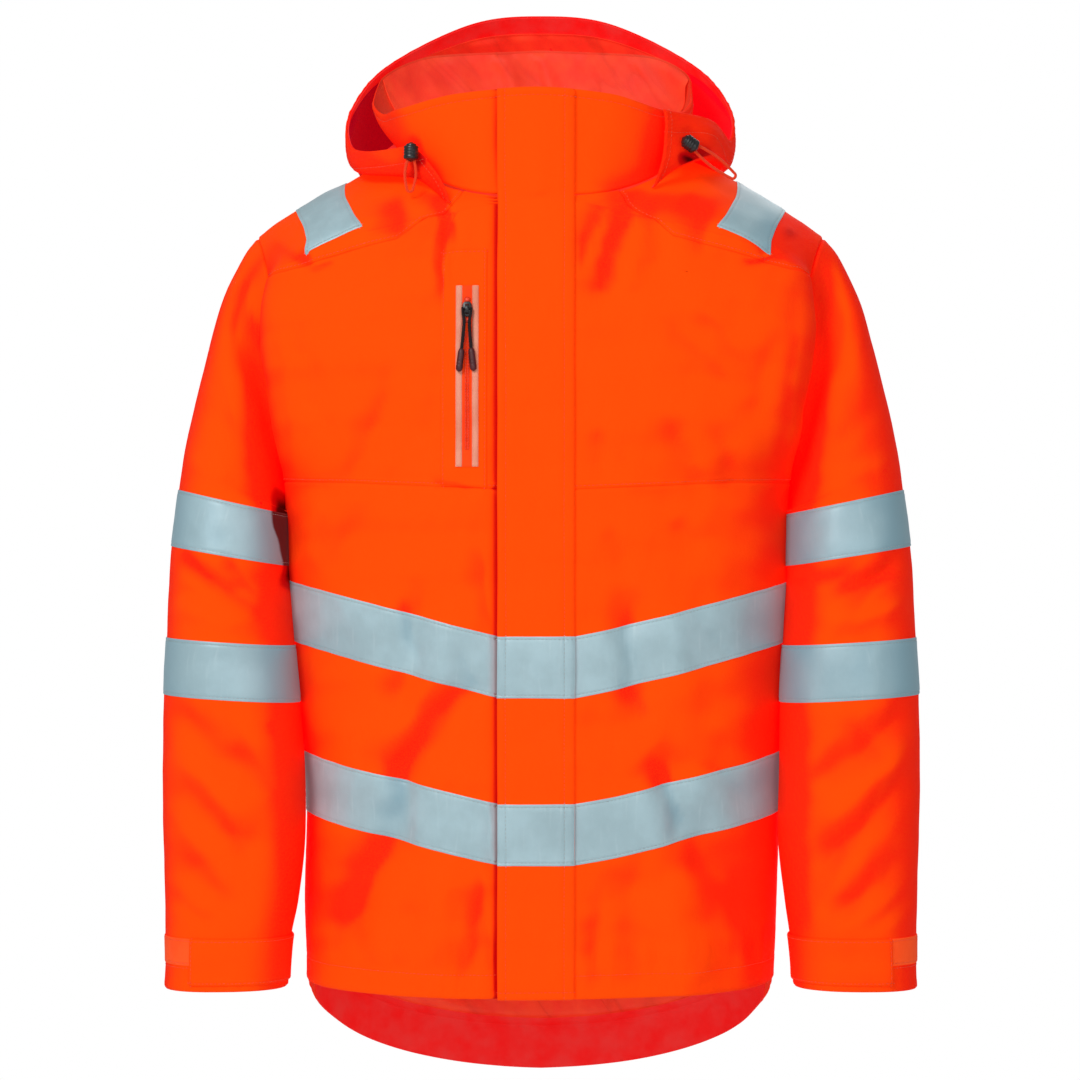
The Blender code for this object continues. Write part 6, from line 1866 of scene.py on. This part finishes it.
def make_elastics():
    """The hood's adjuster elastics: each leaves its cord lock and comes back into it."""
    for name in LOCKS:
        middle, way, across, reach, gap = lock_frame(name)
        start = middle + way * (LOCK_LENGTH / 2 + LAP)
        legs = [start + across * gap + way * reach * part + across * 0.002 * np.sin(np.pi * part)
                for part in (0, 0.12, 0.24, 0.35, 0.47, 0.59, 0.7, 0.85)]
        end = start + way * reach
        bend = [end + across * gap * np.cos(a) + way * gap * np.sin(a) for a in np.radians(np.linspace(0, 180, 11))]
        back = [p - 2 * across * np.dot(p - start, across) for p in legs[::-1]]
        points = np.array(legs + bend + back)
        curve = bpy.data.curves.new(f"hood_elastic_{name}", "CURVE")
        curve.dimensions, curve.use_fill_caps = "3D", True
        curve.bevel_depth, curve.bevel_resolution = CORD_RADIUS, 3
        spline = curve.splines.new("POLY")
        spline.points.add(len(points) - 1)
        for place, point in zip(spline.points, points):
            place.co = (*map(float, point), 1.0)
        curve.materials.append(finish("elastic"))
        made = shown(f"hood_elastic_{name}", curve)
        declare(made, "shell", f"elastic_loop_{name}")
        length = float(steps(points).sum())


def make_locks():
    """Barrel cord locks with a ribbed waist, a press button and a rounded rim."""
    half = LOCK_LENGTH / 2
    profile = ((-half, 0.50), (-half + 0.0004, 0.66), (-half + 0.0014, 0.70), (-half + 0.0018, 0.72),
        (-half + 0.0019, 0.90), (-half + 0.0026, 0.99), (-0.0030, 1.0), (-0.0026, 0.93), (-0.0019, 0.93),
        (-0.0015, 1.0), (-0.0006, 1.0), (-0.0002, 0.93), (0.0005, 0.93), (0.0009, 1.0), (0.0018, 1.0),
        (0.0022, 0.93), (0.0029, 0.93), (0.0033, 1.0), (half - 0.0012, 1.0), (half - 0.0003, 0.92),
        (half, 0.78))
    for name in LOCKS:
        middle, way, across, _, _ = lock_frame(name)
        made = tube(f"hood_lock_{name}", [middle + way * at for at, _ in profile],
            [LOCK_RADIUS * scale for _, scale in profile], "black", sides=28, across=across)
        made.data.set_sharp_from_angle(angle=math.radians(50))
        declare(made, "zip_black", f"cord_lock_{name}")


# ---------------- cloth cuts and stage
def declare_sheets():
    """Measures each panel's flat cut."""
    for name in SIDES:
        declare_cut(f"front_upper_{name}")
        declare_cut(f"front_lower_{name}")
        declare_cut(f"yoke_{name}")
        sewn = [f"tape_sleeve_upper_{name}", f"tape_sleeve_lower_{name}", f"cuff_tab_{name}", f"cuff_grip_{name}"]
        if name == "left":
            sewn += ["stitches_sleeves", "tape_stitches_sleeves"]
        declare_cut(f"sleeve_{name}", ring=True)
    declare_cut("back")
    declare_cut("collar")
    declare_cut("hood")
    declare_cut("storm_flap")


CAMERA = (-0.001, -3.2, -0.297)
CAMERA_LENS = 124.03


def make_camera():
    """Level camera in front of the jacket."""
    made = bpy.data.cameras.new("camera")
    made.sensor_width, made.lens = 36.0, CAMERA_LENS
    made.clip_start, made.clip_end = 0.05, 60.0
    camera = shown("camera", made)
    camera.location, camera.rotation_euler = CAMERA, (math.pi / 2, 0.0, 0.0)
    bpy.context.scene.camera = camera


def soft_light(name, place, aim, size, energy):
    made = bpy.data.lights.new(name, "AREA")
    made.shape, made.size, made.energy = "DISK", size, energy
    light = shown(name, made)
    light.location = place
    light.rotation_euler = (Vector(aim) - Vector(place)).to_track_quat("-Z", "Y").to_euler()


def make_stage(sizes, colours):
    """Pale floor disc, white surroundings and soft lights."""
    bm = bmesh.new()
    bmesh.ops.create_circle(bm, cap_ends=True, radius=3.0, segments=96)
    bmesh.ops.translate(bm, verts=bm.verts, vec=(0.0, 0.0, sizes.floor))
    mesh = bpy.data.meshes.new("floor")
    bm.to_mesh(mesh)
    bm.free()
    mesh.materials.append(floor_finish(tuple(colours.floor)))
    shown("floor", mesh)
    world = bpy.data.worlds.new("surroundings")
    world.use_nodes = True
    nodes = Nodes(world.node_tree)
    seen = Value(nodes, nodes.add("ShaderNodeLightPath").outputs["Is Camera Ray"])
    nodes.feed(world.node_tree.nodes["Background"], Color=(1.0, 1.0, 1.0, 1.0),
        Strength=seen * (1.0 - sizes.around) + sizes.around)
    bpy.context.scene.world = world
    soft_light("key", (-1.3, -2.6, 1.5), (0.0, 0.0, -0.25), 1.3, sizes.key)
    soft_light("front", (0.9, -3.4, 0.1), (0.0, 0.0, -0.35), 1.8, sizes.key * 0.30)
    soft_light("rear", (0.8, 2.8, 1.4), (0.0, 0.0, -0.3), 1.8, sizes.key * 0.3)
    view = bpy.context.scene.view_settings
    view.view_transform, view.look = "Standard", "None"
    view.exposure, view.gamma = 0.0, 1.0


# ---------------- add-on
class JacketSizes(bpy.types.PropertyGroup):
    """Sizes a user would change."""
    stitch: bpy.props.FloatProperty(
        name="Stitch", description="Length of one stitch", default=0.0027, min=0.0015, max=0.006, unit="LENGTH",
        precision=4)
    floor: bpy.props.FloatProperty(
        name="Floor height", description="Height of the floor under the jacket", default=-1.25, unit="LENGTH")
    key: bpy.props.FloatProperty(
        name="Key light", description="Power of the main soft light", default=62.0, min=0.0, unit="POWER")
    around: bpy.props.FloatProperty(
        name="Surrounding light", description="Strength of the light from all sides", default=0.34, min=0.0,
        max=1.0, subtype="FACTOR")


class JacketColours(bpy.types.PropertyGroup):
    """Colours and cloth finish a user would change."""
    cloth: bpy.props.FloatVectorProperty(
        name="Cloth", description="Shell cloth, facing the light", default=(0.97, 0.064, 0.0020), size=3,
        subtype="COLOR", min=0, max=1)
    # painted shade colour of the shell cloth, where it turns from the light
    shade: bpy.props.FloatVectorProperty(
        name="Cloth, turned away", description="Shell cloth seen along its face", default=(0.90, 0.003, 0.006),
        size=3, subtype="COLOR", min=0, max=1)
    lining: bpy.props.FloatVectorProperty(
        name="Lining", description="Lining of the hood, collar and body", default=(0.84, 0.058, 0.020), size=3,
        subtype="COLOR", min=0, max=1)
    facing: bpy.props.FloatVectorProperty(
        name="Facing", description="Facing of the hood's rim and the tail", default=(0.74, 0.032, 0.029), size=3,
        subtype="COLOR", min=0, max=1)
    tape: bpy.props.FloatVectorProperty(
        name="Reflective tape", description="Glass-bead tape", default=(0.368, 0.503, 0.548), size=3,
        subtype="COLOR", min=0, max=1)
    floor: bpy.props.FloatVectorProperty(
        name="Floor", description="Floor under the jacket", default=(0.92, 0.92, 0.92), size=3, subtype="COLOR",
        min=0, max=1)
    weave: bpy.props.FloatProperty(
        name="Weave", description="Width of two threads of the shell cloth", default=0.0006, min=0.0002, max=0.003,
        unit="LENGTH", precision=5)
    # strength of a painted emission of the shell cloth under any lamp, standing in for fluorescence
    painted_glow: bpy.props.FloatProperty(
        name="Fluorescence", description="Light that the shell cloth adds of itself", default=0.26, min=0.0,
        max=1.0, subtype="FACTOR")


class JACKET_OT_camera(bpy.types.Operator):
    """Places the level camera in front of the jacket"""
    bl_idname = "jacket.add_camera"
    bl_label = "Camera"

    def execute(self, context):
        make_camera()
        return {"FINISHED"}


class JACKET_OT_elastics(bpy.types.Operator):
    """Hangs the adjuster elastics at the hood's front corners"""
    bl_idname = "jacket.add_elastics"
    bl_label = "Hood elastics"

    def execute(self, context):
        make_elastics()
        return {"FINISHED"}


class JACKET_OT_fronts(bpy.types.Operator):
    """Cuts both fronts and their reflective bands"""
    bl_idname = "jacket.sew_fronts"
    bl_label = "Fronts"

    def execute(self, context):
        make_fronts()
        return {"FINISHED"}


class JACKET_OT_pocket(bpy.types.Operator):
    """Sews the pocket patch, its zip tape and piped welts"""
    bl_idname = "jacket.sew_pocket"
    bl_label = "Chest pocket"

    def execute(self, context):
        make_pocket()
        return {"FINISHED"}


class JACKET_OT_yokes(bpy.types.Operator):
    """Lays the yokes over the shoulders with their bands"""
    bl_idname = "jacket.sew_yokes"
    bl_label = "Yokes"

    def execute(self, context):
        make_yokes()
        return {"FINISHED"}


class JACKET_OT_back(bpy.types.Operator):
    """Cuts the back with its long tail, facing and lining"""
    bl_idname = "jacket.sew_back"
    bl_label = "Back"

    def execute(self, context):
        make_back()
        return {"FINISHED"}


class JACKET_OT_sleeves(bpy.types.Operator):
    """Sets both sleeves with bands, cuff tabs and grip strips"""
    bl_idname = "jacket.sew_sleeves"
    bl_label = "Sleeves"

    def execute(self, context):
        make_sleeves()
        return {"FINISHED"}


class JACKET_OT_collar(bpy.types.Operator):
    """Raises the collar and its lining"""
    bl_idname = "jacket.sew_collar"
    bl_label = "Collar"

    def execute(self, context):
        make_collar()
        return {"FINISHED"}


class JACKET_OT_hood(bpy.types.Operator):
    """Hangs the thrown-back hood with facing and lining"""
    bl_idname = "jacket.sew_hood"
    bl_label = "Hood"

    def execute(self, context):
        make_hood()
        return {"FINISHED"}


class JACKET_OT_closure(bpy.types.Operator):
    """Closes the front with its hidden zip, storm flap and bands"""
    bl_idname = "jacket.sew_closure"
    bl_label = "Front closure"

    def execute(self, context):
        make_closure()
        return {"FINISHED"}


class JACKET_OT_slider(bpy.types.Operator):
    """Puts the slider and its corded pull on the pocket zip"""
    bl_idname = "jacket.fit_slider"
    bl_label = "Pocket slider and pull"

    def execute(self, context):
        make_slider()
        make_pull()
        return {"FINISHED"}


class JACKET_OT_locks(bpy.types.Operator):
    """Puts the barrel cord locks on the hood elastics"""
    bl_idname = "jacket.fit_locks"
    bl_label = "Cord locks"

    def execute(self, context):
        make_locks()
        return {"FINISHED"}


class JACKET_OT_stitches(bpy.types.Operator):
    """Runs every stitch line and sets the pocket zip's teeth"""
    bl_idname = "jacket.run_stitches"
    bl_label = "Stitches and zip teeth"

    def execute(self, context):
        make_stitches(context.scene.jacket_sizes.stitch)
        make_zip_teeth()
        return {"FINISHED"}


class JACKET_OT_cuts(bpy.types.Operator):
    """Measures the flat cut of every panel"""
    bl_idname = "jacket.state_cuts"
    bl_label = "Cloth cuts"

    def execute(self, context):
        declare_sheets()
        return {"FINISHED"}


class JACKET_OT_stage(bpy.types.Operator):
    """Lays the floor and sets the soft light"""
    bl_idname = "jacket.set_stage"
    bl_label = "Stage"

    def execute(self, context):
        make_stage(context.scene.jacket_sizes, context.scene.jacket_colours)
        return {"FINISHED"}


OPERATORS = (JACKET_OT_camera, JACKET_OT_elastics, JACKET_OT_fronts, JACKET_OT_pocket, JACKET_OT_yokes,
    JACKET_OT_back, JACKET_OT_sleeves, JACKET_OT_collar, JACKET_OT_hood, JACKET_OT_closure,
    JACKET_OT_slider, JACKET_OT_locks, JACKET_OT_stitches, JACKET_OT_cuts, JACKET_OT_stage)


class JACKET_PT_panel(bpy.types.Panel):
    """The jacket's sizes, colours and pieces, in the sidebar"""
    bl_idname = "JACKET_PT_panel"
    bl_label = "Hi-vis work jacket"
    bl_space_type = "VIEW_3D"
    bl_region_type = "UI"
    bl_category = "Jacket"

    def draw(self, context):
        layout = self.layout
        for group in (context.scene.jacket_sizes, context.scene.jacket_colours):
            box = layout.box()
            for name in group.bl_rna.properties.keys():
                if name not in ("rna_type", "name"):
                    box.prop(group, name)
        for step in OPERATORS:
            layout.operator(step.bl_idname)


CLASSES = (JacketSizes, JacketColours, *OPERATORS, JACKET_PT_panel)


def register():
    for made in CLASSES:
        bpy.utils.register_class(made)
    bpy.types.Scene.jacket_sizes = bpy.props.PointerProperty(type=JacketSizes)
    bpy.types.Scene.jacket_colours = bpy.props.PointerProperty(type=JacketColours)


def unregister():
    del bpy.types.Scene.jacket_colours
    del bpy.types.Scene.jacket_sizes
    for made in reversed(CLASSES):
        bpy.utils.unregister_class(made)


def main():
    register()
    for step in OPERATORS:
        getattr(bpy.ops.jacket, step.bl_idname.split(".")[1])()


if __name__ == "__main__":
    main()
